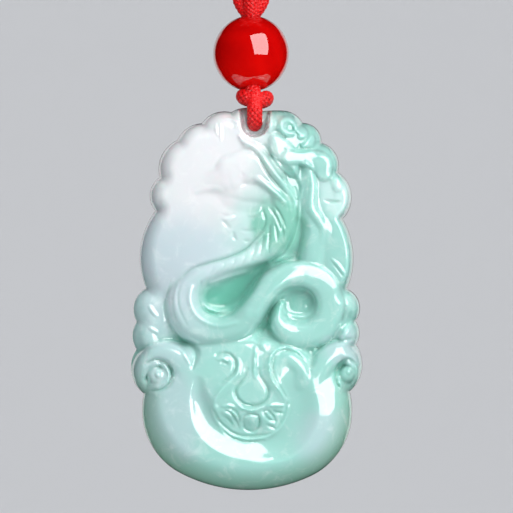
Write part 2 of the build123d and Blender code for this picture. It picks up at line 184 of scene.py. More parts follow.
BANDS = stations({
    "snout": [(-0.42, 0.787, 0.13, 0.82), (-0.29, 0.803, 0.18, 0.86), (-0.14, 0.815, 0.22, 0.92)],
    "skull": [
        (-0.14, 0.83, 0.21, 0.91), (0.02, 0.838, 0.22, 0.93), (0.17, 0.822, 0.19, 0.94),
        (0.26, 0.78, 0.13, 0.92)],
    "jowl": [(-0.14, 0.782, 0.13, 0.865), (0.0, 0.776, 0.14, 0.885), (0.14, 0.772, 0.14, 0.895)],
    "neck and left loop": [
        (0.18, 0.81, 0.11, 0.9), (0.285, 0.76, 0.125, 0.9), (0.295, 0.705, 0.135, 0.87),
        (0.235, 0.655, 0.132, 0.84), (0.11, 0.622, 0.11, 0.82), (-0.08, 0.597, 0.088, 0.8),
        (-0.28, 0.577, 0.085, 0.8), (-0.45, 0.55, 0.115, 0.82), (-0.55, 0.505, 0.165, 0.84),
        (-0.53, 0.458, 0.175, 0.86), (-0.42, 0.425, 0.165, 0.87), (-0.25, 0.416, 0.15, 0.88),
        (-0.08, 0.43, 0.14, 0.93), (0.03, 0.462, 0.132, 0.985)],
    "right coil": [
        (0.03, 0.462, 0.132, 0.985), (0.12, 0.505, 0.13, 0.985), (0.22, 0.54, 0.125, 0.97, 3.5),
        (0.36, 0.562, 0.125, 0.945, 4.5), (0.52, 0.563, 0.13, 0.92, 5.5), (0.66, 0.54, 0.14, 0.89, 5.5),
        (0.725, 0.495, 0.145, 0.862, 5.0), (0.69, 0.445, 0.145, 0.84, 4.0), (0.58, 0.412, 0.142, 0.84, 3.5),
        (0.43, 0.405, 0.14, 0.845), (0.32, 0.42, 0.115, 0.85), (0.265, 0.446, 0.08, 0.85),
        (0.27, 0.472, 0.045, 0.84), (0.3, 0.49, 0.02, 0.82)],
    "stalk": [
        (0.5, 0.85, 0.06, 0.72), (0.54, 0.815, 0.09, 0.76), (0.545, 0.77, 0.12, 0.78),
        (0.56, 0.735, 0.14, 0.79), (0.59, 0.7, 0.15, 0.82), (0.6, 0.66, 0.15, 0.84),
        (0.59, 0.62, 0.15, 0.83), (0.57, 0.575, 0.15, 0.8)],
    "upper right lobe": [(0.78, 0.8, 0.115, 0.82), (0.8, 0.765, 0.11, 0.82), (0.77, 0.725, 0.1, 0.78)],
    "left rim lobe": [(-0.86, 0.492, 0.12, 0.62), (-0.88, 0.462, 0.1, 0.6)],
    "left low lobe": [(-0.89, 0.425, 0.11, 0.64), (-0.86, 0.395, 0.125, 0.66)],
    "right rim lobe": [(0.89, 0.49, 0.1, 0.68), (0.89, 0.455, 0.09, 0.66)],
    "right low lobe": [(0.9, 0.42, 0.095, 0.72), (0.88, 0.398, 0.115, 0.74)],
    "left scroll": [
        (-0.46, 0.262, 0.18, 0.94), (-0.51, 0.305, 0.17, 0.92), (-0.59, 0.338, 0.15, 0.91),
        (-0.74, 0.358, 0.125, 0.88), (-0.88, 0.338, 0.105, 0.83), (-0.935, 0.3, 0.08, 0.77),
        (-0.9, 0.268, 0.055, 0.72)],
    "right scroll": [
        (0.52, 0.262, 0.17, 0.94), (0.6, 0.302, 0.145, 0.92), (0.68, 0.338, 0.135, 0.91),
        (0.8, 0.36, 0.12, 0.88), (0.91, 0.346, 0.095, 0.83), (0.955, 0.31, 0.07, 0.77),
        (0.93, 0.28, 0.05, 0.72)],
    "left boss": [(-0.782, 0.3, 0.105, 0.83), (-0.772, 0.299, 0.105, 0.83)],
    "right boss": [(0.868, 0.305, 0.088, 0.83), (0.876, 0.303, 0.088, 0.83)],
    "left petal": [
        (-0.43, 0.285, 0.15, 0.93), (-0.41, 0.322, 0.14, 0.91), (-0.31, 0.343, 0.115, 0.9),
        (-0.21, 0.335, 0.105, 0.89)],
    "right petal": [
        (0.46, 0.282, 0.14, 0.98), (0.455, 0.318, 0.12, 0.97), (0.37, 0.342, 0.11, 0.95),
        (0.3, 0.335, 0.1, 0.93)],
})

PLATES = stations({
    "left of the fungus cap": [
        (0.245, 0.91, 0.055, 0.1), (0.28, 0.893, 0.085, 0.12), (0.325, 0.872, 0.105, 0.13),
        (0.365, 0.85, 0.085, 0.13), (0.39, 0.828, 0.035, 0.12)],
    "right of the fungus cap": [
        (0.36, 0.866, 0.075, 0.14), (0.47, 0.867, 0.07, 0.14), (0.57, 0.862, 0.085, 0.13),
        (0.64, 0.85, 0.1, 0.11), (0.665, 0.826, 0.07, 0.1)],
    "leaf beside the curl": [
        (0.44, 0.944, 0.045, 0.08), (0.485, 0.93, 0.045, 0.09), (0.455, 0.92, 0.02, 0.06)],
    "leaf on the cap": [
        (0.485, 0.899, 0.025, 0.07), (0.545, 0.908, 0.045, 0.08), (0.565, 0.92, 0.025, 0.06)],
})

POCKETS = stations({
    "drop hollow": [
        (0.17, 0.59, 0.02, 0.05), (0.09, 0.567, 0.05, 0.14), (0.0, 0.543, 0.09, 0.2),
        (-0.11, 0.522, 0.128, 0.22), (-0.2, 0.51, 0.138, 0.22), (-0.285, 0.509, 0.118, 0.22)],
    "coil hollow": [(0.43, 0.492, 0.125, 0.12), (0.47, 0.492, 0.125, 0.12)],
    "gap by the crest": [
        (0.151, 0.897, 0.02, 0.03), (0.235, 0.86, 0.045, 0.07), (0.332, 0.827, 0.062, 0.09),
        (0.416, 0.793, 0.05, 0.08), (0.435, 0.76, 0.025, 0.04)],
})

LINES = stations({
    "fungus curl": [
        (0.395, 0.93, 0.03, 0.05), (0.345, 0.93, 0.036, 0.07), (0.3, 0.942, 0.04, 0.1),
        (0.305, 0.96, 0.042, 0.11), (0.355, 0.967, 0.042, 0.11), (0.405, 0.96, 0.04, 0.1),
        (0.425, 0.945, 0.034, 0.07)],
    "lip beside the hole": [
        (0.195, 0.983, 0.04, 0.06), (0.215, 0.962, 0.055, 0.09), (0.195, 0.94, 0.04, 0.06)],
    "left loop's inner edge": [
        (-0.485, 0.53, 0.03, 0.02), (-0.49, 0.5, 0.036, 0.04), (-0.45, 0.468, 0.038, 0.05),
        (-0.36, 0.444, 0.038, 0.05), (-0.24, 0.434, 0.036, 0.04), (-0.1, 0.44, 0.03, 0.02)],
    "ridge of the S": [
        (0.1, 0.466, 0.06, 0.03), (0.19, 0.502, 0.065, 0.05), (0.263, 0.527, 0.065, 0.05),
        (0.34, 0.548, 0.06, 0.028), (0.43, 0.562, 0.05, 0.008)],
    "stalk's ridge": [
        (0.485, 0.852, 0.03, 0.02), (0.523, 0.845, 0.045, 0.05), (0.552, 0.822, 0.05, 0.07),
        (0.565, 0.79, 0.055, 0.07), (0.552, 0.752, 0.055, 0.07), (0.565, 0.728, 0.058, 0.07),
        (0.625, 0.706, 0.06, 0.07), (0.672, 0.682, 0.06, 0.06), (0.668, 0.65, 0.05, 0.02)],
    "bump in the coil hollow": [(0.42, 0.468, 0.07, 0.01), (0.48, 0.47, 0.07, 0.01)],
    "neck hollow": [(0.45, 0.7, 0.05, -0.04), (0.475, 0.674, 0.08, -0.07), (0.45, 0.65, 0.06, -0.04)],
    "eye of the left petal": [(-0.25, 0.325, 0.1, -0.01), (-0.19, 0.325, 0.09, -0.012)],
    "left edge of the ruyi": [
        (-0.143, 0.37, 0.05, 0.005), (-0.085, 0.358, 0.05, 0.007), (-0.068, 0.335, 0.05, 0.007),
        (-0.085, 0.309, 0.05, 0.01), (-0.145, 0.288, 0.055, 0.02), (-0.215, 0.266, 0.055, 0.03),
        (-0.265, 0.245, 0.05, 0.02)],
    "right edge of the ruyi": [
        (0.26, 0.368, 0.045, 0.03), (0.205, 0.356, 0.05, 0.05), (0.185, 0.335, 0.045, 0.05),
        (0.19, 0.306, 0.05, 0.05), (0.225, 0.284, 0.055, 0.05), (0.285, 0.262, 0.055, 0.04),
        (0.325, 0.24, 0.05, 0.02)],
    "disc edge": [
        (-0.285, 0.22, 0.04, 0.03), (-0.25, 0.19, 0.04, 0.04), (-0.18, 0.162, 0.04, 0.04),
        (-0.08, 0.145, 0.04, 0.04), (0.04, 0.138, 0.04, 0.04), (0.16, 0.146, 0.04, 0.04),
        (0.27, 0.172, 0.04, 0.04), (0.34, 0.22, 0.04, 0.03)],
    "disc ground": [(-0.14, 0.2, 0.13, -0.03), (0.03, 0.19, 0.14, -0.03), (0.2, 0.2, 0.13, -0.03)],
    "dish round the disc": [
        (-0.42, 0.285, 0.06, -0.03), (-0.4, 0.238, 0.095, -0.11), (-0.345, 0.192, 0.13, -0.14),
        (-0.24, 0.163, 0.165, -0.16), (-0.1, 0.147, 0.19, -0.185), (0.05, 0.14, 0.198, -0.205),
        (0.17, 0.137, 0.2, -0.215), (0.3, 0.15, 0.215, -0.205), (0.395, 0.195, 0.22, -0.175),
        (0.415, 0.25, 0.18, -0.12), (0.41, 0.3, 0.1, -0.03)],
    "pearl": [(0.038, 0.184, 0.04, 0.03), (0.038, 0.181, 0.04, 0.03)],
    "crest": [
        (-0.06, 0.917, 0.022, 0.03), (-0.015, 0.904, 0.036, 0.08), (0.045, 0.895, 0.042, 0.12),
        (0.1, 0.884, 0.042, 0.14), (0.145, 0.866, 0.042, 0.14), (0.18, 0.85, 0.042, 0.13),
        (0.235, 0.827, 0.042, 0.13), (0.3, 0.804, 0.04, 0.12), (0.36, 0.78, 0.034, 0.09),
        (0.405, 0.758, 0.025, 0.03)],
    "second crest": [
        (0.08, 0.812, 0.035, 0.03), (0.16, 0.795, 0.045, 0.07), (0.25, 0.775, 0.042, 0.06),
        (0.34, 0.748, 0.035, 0.02)],
    "jaw crease": [
        (-0.5, 0.768, 0.06, -0.004), (-0.34, 0.772, 0.08, -0.008), (-0.24, 0.758, 0.08, -0.012),
        (-0.18, 0.74, 0.07, -0.016), (-0.06, 0.729, 0.06, -0.016), (0.06, 0.733, 0.035, -0.01)],
    "coil joint": [
        (0.1, 0.4, 0.04, -0.06), (0.15, 0.412, 0.05, -0.12), (0.2, 0.402, 0.045, -0.12),
        (0.28, 0.385, 0.03, -0.06)],
    "left triangle": [
        (-0.53, 0.389, 0.03, -0.04), (-0.45, 0.368, 0.045, -0.12), (-0.445, 0.345, 0.03, -0.08),
        (-0.47, 0.322, 0.022, -0.03)],
    "right triangle": [(0.5, 0.366, 0.035, -0.04), (0.55, 0.357, 0.05, -0.12), (0.552, 0.33, 0.03, -0.07)],
    "left ring": [
        (-0.88, 0.33, 0.025, -0.02), (-0.8, 0.341, 0.032, -0.04), (-0.7, 0.334, 0.036, -0.06),
        (-0.655, 0.31, 0.036, -0.06), (-0.675, 0.282, 0.034, -0.05), (-0.75, 0.264, 0.03, -0.04),
        (-0.84, 0.262, 0.025, -0.02)],
    "right ring": [
        (0.795, 0.272, 0.025, -0.02), (0.768, 0.295, 0.034, -0.05), (0.79, 0.325, 0.034, -0.06),
        (0.87, 0.342, 0.034, -0.05), (0.95, 0.33, 0.025, -0.03)],
})

# Fine strokes, group by group: the graver's cuts and the thin edges left standing beside them.
STROKES = {group: [Graver(*row) for row in rows] for group, rows in {
    "eye": [
        (-0.008, 0.3, ((-0.042, 0.827), (-0.041, 0.819)))],
    "mouth": [
        (0.012, 0.5, ((-0.46, 0.778), (-0.33, 0.786), (-0.25, 0.784), (-0.18, 0.765))),
        (-0.005, 0.5, ((-0.475, 0.766), (-0.31, 0.771), (-0.24, 0.76), (-0.183, 0.739), (-0.1, 0.729),
            (0.04, 0.73), (0.12, 0.737)))],
    "top left": [
        (0.032, 0.3, ((-0.174, 0.969), (-0.136, 0.967), (-0.105, 0.961), (-0.083, 0.954), (-0.096, 0.944))),
        (-0.008, 0.4, ((-0.15, 0.96), (-0.12, 0.954), (-0.125, 0.942))),
        (0.025, 0.28, ((-0.272, 0.955), (-0.266, 0.937), (-0.252, 0.922))),
        (0.025, 0.28, ((-0.232, 0.955), (-0.228, 0.932), (-0.228, 0.91)))],
    "round the hole": [
        (0.04, 0.35, ((-0.066, 0.922), (-0.058, 0.921))),
        (-0.022, 0.45, ((-0.02, 0.922), (0.04, 0.913), (0.1, 0.916))),
        (-0.04, 0.45, ((0.235, 0.982), (0.24, 0.96), (0.235, 0.938)))],
    "crest": [
        (-0.045, 0.36, ((-0.038, 0.9), (0.029, 0.891), (0.074, 0.879), (0.109, 0.866), (0.149, 0.844),
            (0.189, 0.822), (0.256, 0.797), (0.33, 0.771))),
        (-0.03, 0.35, ((0.13, 0.815), (0.2, 0.797), (0.28, 0.775), (0.34, 0.757)))],
    "tufts under the jaw": [
        (-0.012, 0.3, ((-0.23, 0.722), (-0.17, 0.716), (-0.11, 0.72))),
        (0.026, 0.45, ((-0.21, 0.707), (-0.16, 0.708), (-0.12, 0.714))),
        (-0.02, 0.3, ((-0.21, 0.704), (-0.18, 0.693), (-0.15, 0.684))),
        (-0.018, 0.3, ((-0.05, 0.679), (0.01, 0.677), (0.07, 0.679))),
        (-0.018, 0.3, ((-0.03, 0.652), (0.0, 0.65), (0.03, 0.652))),
        (-0.024, 0.32, ((-0.12, 0.672), (-0.11, 0.66), (-0.09, 0.654))),
        (0.025, 0.35, ((0.02, 0.717), (0.07, 0.721), (0.11, 0.731), (0.123, 0.738)))],
    "neck": [
        (-0.055, 0.32, ((0.13, 0.735), (0.16, 0.7), (0.12, 0.672), (0.03, 0.642), (-0.05, 0.622),
            (-0.2, 0.604), (-0.35, 0.592), (-0.48, 0.578), (-0.55, 0.56))),
        (-0.05, 0.32, ((0.41, 0.79), (0.43, 0.76), (0.425, 0.72), (0.41, 0.685), (0.37, 0.65), (0.3, 0.618),
            (0.2, 0.598), (0.1, 0.58), (0.0, 0.572))),
        (-0.04, 0.24, ((0.24, 0.74), (0.29, 0.715), (0.34, 0.68))),
        (-0.034, 0.22, ((0.2, 0.735), (0.25, 0.712), (0.29, 0.68))),
        (-0.04, 0.22, ((0.195, 0.69), (0.19, 0.655), (0.185, 0.62))),
        (-0.034, 0.22, ((0.24, 0.695), (0.255, 0.672), (0.262, 0.65))),
        (-0.034, 0.22, ((0.3, 0.69), (0.312, 0.672), (0.315, 0.65))),
        (-0.026, 0.22, ((0.14, 0.665), (0.13, 0.64), (0.11, 0.612))),
        (-0.026, 0.22, ((0.08, 0.645), (0.06, 0.62), (0.03, 0.598))),
        (-0.018, 0.22, ((0.0, 0.626), (-0.02, 0.606), (-0.05, 0.588))),
        (-0.016, 0.22, ((-0.09, 0.612), (-0.11, 0.596), (-0.14, 0.578))),
        (-0.016, 0.22, ((-0.18, 0.602), (-0.2, 0.586), (-0.23, 0.57))),
        (-0.014, 0.22, ((-0.28, 0.592), (-0.3, 0.576), (-0.33, 0.562))),
        (0.04, 0.35, ((0.23, 0.598), (0.28, 0.604), (0.34, 0.612)))],
    "fungus": [
        (-0.05, 0.4, ((0.37, 0.95), (0.35, 0.944), (0.37, 0.938), (0.39, 0.944))),
        (-0.045, 0.32, ((0.372, 0.884), (0.479, 0.882), (0.568, 0.89))),
        (-0.045, 0.3, ((0.434, 0.89), (0.488, 0.905), (0.537, 0.92))),
        (-0.045, 0.3, ((0.318, 0.921), (0.328, 0.919))),
        (-0.035, 0.38, ((0.22, 0.933), (0.269, 0.933), (0.309, 0.922))),
        (0.03, 0.3, ((0.318, 0.906), (0.35, 0.907), (0.385, 0.905))),
        (0.03, 0.3, ((0.33, 0.889), (0.375, 0.89), (0.416, 0.889)))],
    "right rim": [
        (0.05, 0.75, ((0.778, 0.792), (0.782, 0.787))),
        (-0.035, 0.35, ((0.67, 0.755), (0.73, 0.752), (0.8, 0.752))),
        (-0.03, 0.4, ((0.73, 0.6), (0.78, 0.585), (0.84, 0.558))),
        (-0.035, 0.4, ((0.9, 0.465), (0.87, 0.44), (0.82, 0.428))),
        (-0.045, 0.4, ((0.75, 0.395), (0.83, 0.394), (0.93, 0.398))),
        (0.03, 0.45, ((0.79, 0.402), (0.84, 0.41), (0.91, 0.428)))],
    "left rim": [
        (0.035, 0.36, ((-0.85, 0.483), (-0.82, 0.468), (-0.785, 0.456))),
        (0.035, 0.36, ((-0.85, 0.426), (-0.81, 0.419), (-0.78, 0.413))),
        (-0.03, 0.5, ((-0.82, 0.742), (-0.79, 0.738), (-0.76, 0.73)))],
    "loops": [
        (-0.02, 0.28, ((-0.57, 0.545), (-0.6, 0.51), (-0.58, 0.47), (-0.52, 0.432))),
        (-0.018, 0.26, ((-0.62, 0.54), (-0.65, 0.5), (-0.63, 0.458), (-0.57, 0.424))),
        (-0.015, 0.26, ((-0.66, 0.55), (-0.695, 0.505), (-0.68, 0.46), (-0.62, 0.424))),
        (-0.05, 0.34, ((-0.4, 0.545), (-0.408, 0.51), (-0.385, 0.484), (-0.34, 0.468), (-0.25, 0.459),
            (-0.15, 0.462), (-0.07, 0.48), (0.01, 0.508), (0.07, 0.54), (0.13, 0.572))),
        (-0.035, 0.34, ((-0.39, 0.53), (-0.3, 0.551), (-0.11, 0.567), (0.04, 0.579), (0.17, 0.596))),
        (-0.02, 0.34, ((0.315, 0.52), (0.3, 0.5), (0.33, 0.47), (0.4, 0.452), (0.49, 0.45), (0.56, 0.462))),
        (0.025, 0.28, ((0.28, 0.455), (0.31, 0.478), (0.33, 0.455), (0.38, 0.437), (0.45, 0.428),
            (0.52, 0.427))),
        (-0.05, 0.38, ((0.14, 0.42), (0.19, 0.44), (0.24, 0.465), (0.29, 0.492), (0.33, 0.515))),
        (0.05, 0.35, ((0.73, 0.602), (0.78, 0.588), (0.84, 0.562))),
        (0.06, 0.75, ((0.13, 0.386), (0.155, 0.379)))],
    "left scroll": [
        (0.035, 0.4, ((-0.63, 0.381), (-0.56, 0.368), (-0.52, 0.348), (-0.49, 0.33))),
        (-0.06, 0.34, ((-0.87, 0.335), (-0.8, 0.343), (-0.7, 0.337), (-0.652, 0.312), (-0.662, 0.288),
            (-0.73, 0.268), (-0.82, 0.262))),
        (0.055, 0.34, ((-0.888, 0.3), (-0.83, 0.32), (-0.77, 0.33), (-0.7, 0.322), (-0.672, 0.305),
            (-0.69, 0.288))),
        (0.06, 0.45, ((-0.772, 0.306), (-0.77, 0.302)))],
    "right scroll": [
        (-0.06, 0.34, ((0.79, 0.27), (0.765, 0.295), (0.785, 0.327), (0.87, 0.344), (0.95, 0.33))),
        (0.055, 0.34, ((0.78, 0.305), (0.79, 0.288), (0.82, 0.272))),
        (0.055, 0.34, ((0.93, 0.33), (0.957, 0.312), (0.957, 0.285))),
        (0.06, 0.45, ((0.878, 0.314), (0.88, 0.31)))],
    "ruyi": [
        (-0.05, 0.34, ((-0.27, 0.356), (-0.21, 0.361), (-0.157, 0.358), (-0.11, 0.344), (-0.103, 0.326),
            (-0.122, 0.309), (-0.171, 0.296), (-0.227, 0.283))),
        (0.035, 0.3, ((-0.26, 0.345), (-0.21, 0.348), (-0.17, 0.34))),
        (-0.025, 0.3, ((-0.23, 0.335), (-0.19, 0.337), (-0.16, 0.33))),
        (-0.045, 0.34, ((0.54, 0.312), (0.51, 0.33), (0.468, 0.348), (0.405, 0.362), (0.33, 0.368),
            (0.265, 0.362), (0.228, 0.35), (0.215, 0.33), (0.22, 0.306), (0.25, 0.286), (0.3, 0.266),
            (0.335, 0.246))),
        (0.045, 0.3, ((0.5, 0.345), (0.43, 0.366), (0.33, 0.376), (0.25, 0.37), (0.21, 0.357),
            (0.198, 0.335), (0.203, 0.306), (0.235, 0.284), (0.29, 0.263), (0.325, 0.242))),
        (-0.06, 0.34, ((0.0, 0.32), (-0.01, 0.305), (-0.06, 0.285), (-0.097, 0.268), (-0.088, 0.247),
            (-0.032, 0.231), (0.038, 0.226), (0.108, 0.229), (0.165, 0.243), (0.18, 0.264), (0.145, 0.285),
            (0.108, 0.302), (0.102, 0.32))),
        (0.045, 0.3, ((0.073, 0.375), (0.066, 0.343), (0.063, 0.318), (0.068, 0.296))),
        (0.022, 0.3, ((-0.09, 0.35), (-0.07, 0.335), (-0.085, 0.308), (-0.145, 0.288), (-0.215, 0.267),
            (-0.265, 0.246), (-0.285, 0.225)))],
    "disc": [
        (-0.06, 0.34, ((-0.285, 0.212), (-0.255, 0.192), (-0.2, 0.172), (-0.13, 0.155), (-0.045, 0.146),
            (0.04, 0.145), (0.13, 0.149), (0.195, 0.153))),
        (-0.05, 0.3, ((-0.225, 0.17), (-0.15, 0.146), (-0.05, 0.134), (0.04, 0.132), (0.14, 0.136))),
        (-0.045, 0.32, ((0.2, 0.154), (0.27, 0.172), (0.32, 0.2), (0.342, 0.232))),
        (0.045, 0.28, ((-0.08, 0.226), (-0.018, 0.216), (0.066, 0.214), (0.142, 0.224))),
        (0.04, 0.28, ((0.17, 0.224), (0.22, 0.226), (0.32, 0.226))),
        (0.04, 0.28, ((-0.22, 0.224), (-0.17, 0.226), (-0.11, 0.222))),
        (-0.05, 0.28, ((-0.035, 0.19), (-0.025, 0.17), (0.01, 0.161), (0.05, 0.161), (0.095, 0.17),
            (0.105, 0.188), (0.085, 0.2), (0.03, 0.204), (-0.02, 0.2), (-0.035, 0.19))),
        (-0.045, 0.26, ((-0.19, 0.212), (-0.14, 0.206), (-0.1, 0.19), (-0.07, 0.168))),
        (-0.045, 0.26, ((-0.16, 0.218), (-0.11, 0.214), (-0.08, 0.2), (-0.06, 0.182))),
        (-0.04, 0.26, ((-0.2, 0.198), (-0.16, 0.19), (-0.13, 0.176))),
        (0.045, 0.28, ((-0.13, 0.21), (-0.1, 0.202), (-0.08, 0.19))),
        (-0.045, 0.26, ((0.14, 0.212), (0.16, 0.2), (0.2, 0.188), (0.245, 0.186))),
        (-0.045, 0.26, ((0.14, 0.212), (0.18, 0.212), (0.22, 0.2), (0.245, 0.186))),
        (-0.04, 0.26, ((0.22, 0.214), (0.26, 0.208), (0.31, 0.206))),
        (-0.04, 0.26, ((0.17, 0.176), (0.21, 0.17), (0.24, 0.166)))],
}.items()}


def linear(code: str) -> tuple[float, float, float, float]:
    """Turn an sRGB hex code into linear red, green, blue and an alpha of 1.

    Args:
        code: the colour as "#RRGGBB".

    Returns:
        The four linear values.
    """
    shares = [int(code[i:i + 2], 16) / 255 for i in (1, 3, 5)]
    r, g, b = (s / 12.92 if s <= 0.04045 else ((s + 0.055) / 1.055) ** 2.4 for s in shares)
    return r, g, b, 1.0


def add_node(tree: bpy.types.NodeTree, kind: str, settings: dict | None = None,
             inputs: dict | None = None) -> bpy.types.Node:
    """Add a node with its settings, and fill or link its inputs.

    Args:
        tree: the node tree.
        kind: the node's type name.
        settings: the node's own properties.
        inputs: for each input's name or number, a value or the socket that feeds it.

    Returns:
        The new node.
    """
    node = tree.nodes.new(kind)
    for name, value in (settings or {}).items():
        setattr(node, name, value)
    for socket, value in (inputs or {}).items():
        if isinstance(value, bpy.types.NodeSocket):
            tree.links.new(value, node.inputs[socket])
        else:
            node.inputs[socket].default_value = value
    return node


def new_material(name: str) -> tuple[bpy.types.Material, bpy.types.NodeTree]:
    """Make an empty node material.

    Args:
        name: the material's name.

    Returns:
        The material and its cleared node tree.
    """
    material = bpy.data.materials.new(name)
    material.use_nodes = True
    material.node_tree.nodes.clear()
    return material, material.node_tree


@dataclass(frozen=True)
class PolishedJadeite:
    """Type A jadeite, carved with diamond burrs and polished with fine paste on wood and leather.

    It gives the eye a wet, glassy surface over a milky body: light goes a millimetre or two in, so the
    crests glow pale, and its hollows and cuts are painted a darker green as shade.
    """

    name: str = "jadeite_carved_and_polished"
    mint: str = "#9DCBC3"
    milk: str = "#D9DBDD"
    frost: str = "#BFCED3"
    ice: str = "#ADC9C9"
    pale: str = "#BEDCD8"
    sea: str = "#88C0B0"
    # painted shade: the darker green of the lower rim, where its rolled foot turns from the light
    rim_shade: str = "#8DBCA6"
    # painted shade: the darker green put into hollows, pockets, low ground and cuts, paler under the milky
    # zone
    hollow: str = "#76BDAB"
    milky_hollow_shade: str = "#C3D6D2"
    wisp: str = "#F2F6F4"
    milk_zone: tuple = (Oval(-0.44, 0.88, 0.72, 0.205),)
    frost_zone: tuple = (Oval(-0.76, 0.65, 0.66, 0.2),)
    ice_zone: tuple = (Oval(-0.86, 0.43, 0.52, 0.19), Oval(-0.66, 0.2, 0.36, 0.13),
                       Oval(0.72, 0.13, 0.34, 0.09), Oval(0.86, 0.365, 0.24, 0.045))
    pale_zone: tuple = (Oval(-0.14, 0.65, 0.44, 0.1), Oval(0.82, 0.77, 0.22, 0.055))
    sea_zone: tuple = (Oval(0.27, 0.69, 0.22, 0.085),)
    zone_core: float = 0.55       # shares of an oval's half sizes between which it fades
    zone_edge: float = 1.25
    zone_drift: tuple = (0.36, 0.0, 0.12)     # how far clouds shift the zones, in the plaque's shares
    rim_shade_from: float = 0.42       # share of the height below which the rim is painted with shade
    rim_shade_full: float = 0.10
    ior: float = 1.66
    roughness: float = 0.07
    dull: float = 1.5             # times that roughness in the clouds' lightest places
    keen: float = 0.7             # and in their darkest
    wax: float = 1.0              # a thin coat of clear wax, rubbed on last
    wax_ior: float = 1.45
    wax_roughness: float = 0.04
    glow: float = 0.8             # how much of the light goes in
    glow_depth: float = 0.8 * MM
    glow_colour: tuple = (0.75, 1.15, 1.0)
    cloud: float = 5.0 * MM
    wisp_width: float = 2.25 * MM
    wisp_most: float = 0.28
    dimple: float = 0.55 * MM
    dimple_depth: float = 0.02 * MM

    def make(self, plaque: "JadePlaque") -> bpy.types.Material:
        """Build the stone around the plaque's own places.

        Args:
            plaque: the plaque, whose corner and sizes place the colour zones.

        Returns:
            The material.
        """
        material, tree = new_material(self.name)
        spot = add_node(tree, "ShaderNodeTexCoord").outputs["Object"]
        clouds = add_node(tree, "ShaderNodeTexNoise", {"noise_dimensions": "3D"},
                          {"Vector": spot, "Scale": 1 / self.cloud, "Detail": 3.0, "Roughness": 0.5})
        dimples = add_node(tree, "ShaderNodeTexNoise", {"noise_dimensions": "3D"},
                           {"Vector": spot, "Scale": 1 / self.dimple, "Detail": 2.0, "Roughness": 0.5})
        bump = add_node(tree, "ShaderNodeBump", None,
                        {"Strength": 0.10, "Distance": self.dimple_depth, "Height": dimples.outputs["Fac"]})
        shine = add_node(tree, "ShaderNodeMapRange", None,
                         {"Value": clouds.outputs["Fac"], "From Min": 0.3, "From Max": 0.7,
                          "To Min": self.roughness * self.keen, "To Max": self.roughness * self.dull})
        stone = add_node(tree, "ShaderNodeBsdfPrincipled", {"subsurface_method": "RANDOM_WALK"},
                         {"Base Color": self._colour(tree, plaque, spot, clouds.outputs["Color"]),
                          "Roughness": shine.outputs[0], "IOR": self.ior, "Subsurface Weight": self.glow,
                          "Subsurface Radius": self.glow_colour, "Subsurface Scale": self.glow_depth,
                          "Normal": bump.outputs[0], "Coat Weight": self.wax,
                          "Coat Roughness": self.wax_roughness, "Coat IOR": self.wax_ior})
        add_node(tree, "ShaderNodeOutputMaterial", None, {"Surface": stone.outputs[0]})
        return material

    def _colour(self, tree: bpy.types.NodeTree, plaque: "JadePlaque", spot: bpy.types.NodeSocket,
                clouds: bpy.types.NodeSocket) -> bpy.types.NodeSocket:
        """Mint stone, tinted zone by zone, painted a darker green as shade in its hollows and along its
        lower rim, and crossed by pale wisps.

        Args:
            tree: the node tree.
            plaque: the plaque.
            spot: places in metres.
            clouds: the noise that makes the zones' edges drift.

        Returns:
            The colour's socket.
        """
        corner = add_node(tree, "ShaderNodeVectorMath", {"operation": "SUBTRACT"},
                          {0: spot, 1: (plaque.middle_x, 0.0, plaque.foot_z)}).outputs[0]
        shares = add_node(tree, "ShaderNodeVectorMath", {"operation": "MULTIPLY"},
                          {0: corner, 1: (1 / plaque.half_width, 1 / plaque.height, 1 / plaque.height)})
        drift = add_node(tree, "ShaderNodeVectorMath", {"operation": "MULTIPLY_ADD"},
                         {0: clouds, 1: self.zone_drift, 2: tuple(-way / 2 for way in self.zone_drift)})
        place = add_node(tree, "ShaderNodeVectorMath", {"operation": "ADD"},
                         {0: shares.outputs[0], 1: drift.outputs[0]}).outputs[0]
        # painted shade: near the rim and low down, the stone is darker green
        rim = add_node(tree, "ShaderNodeAttribute", {"attribute_name": "rim"}).outputs["Fac"]
        low = add_node(tree, "ShaderNodeSeparateXYZ", None, {0: place}).outputs["Z"]
        foot = add_node(tree, "ShaderNodeMapRange", {"interpolation_type": "SMOOTHSTEP"},
                        {"Value": low, "From Min": self.rim_shade_from, "From Max": self.rim_shade_full}).outputs[0]
        rim_shaded = add_node(tree, "ShaderNodeMath", {"operation": "MULTIPLY"}, {0: rim, 1: foot}).outputs[0]
        milky = self._zones(tree, place, self.milk_zone)
        colour = linear(self.mint)
        for share, tint in ((self._zones(tree, place, self.ice_zone), self.ice),
                            (self._zones(tree, place, self.pale_zone), self.pale),
                            (self._zones(tree, place, self.sea_zone), self.sea),
                            (rim_shaded, self.rim_shade),
                            (self._zones(tree, place, self.frost_zone), self.frost),
                            (milky, self.milk)):
            colour = add_node(tree, "ShaderNodeMix", {"data_type": "RGBA"},
                              {0: share, 6: colour, 7: linear(tint)}).outputs[2]
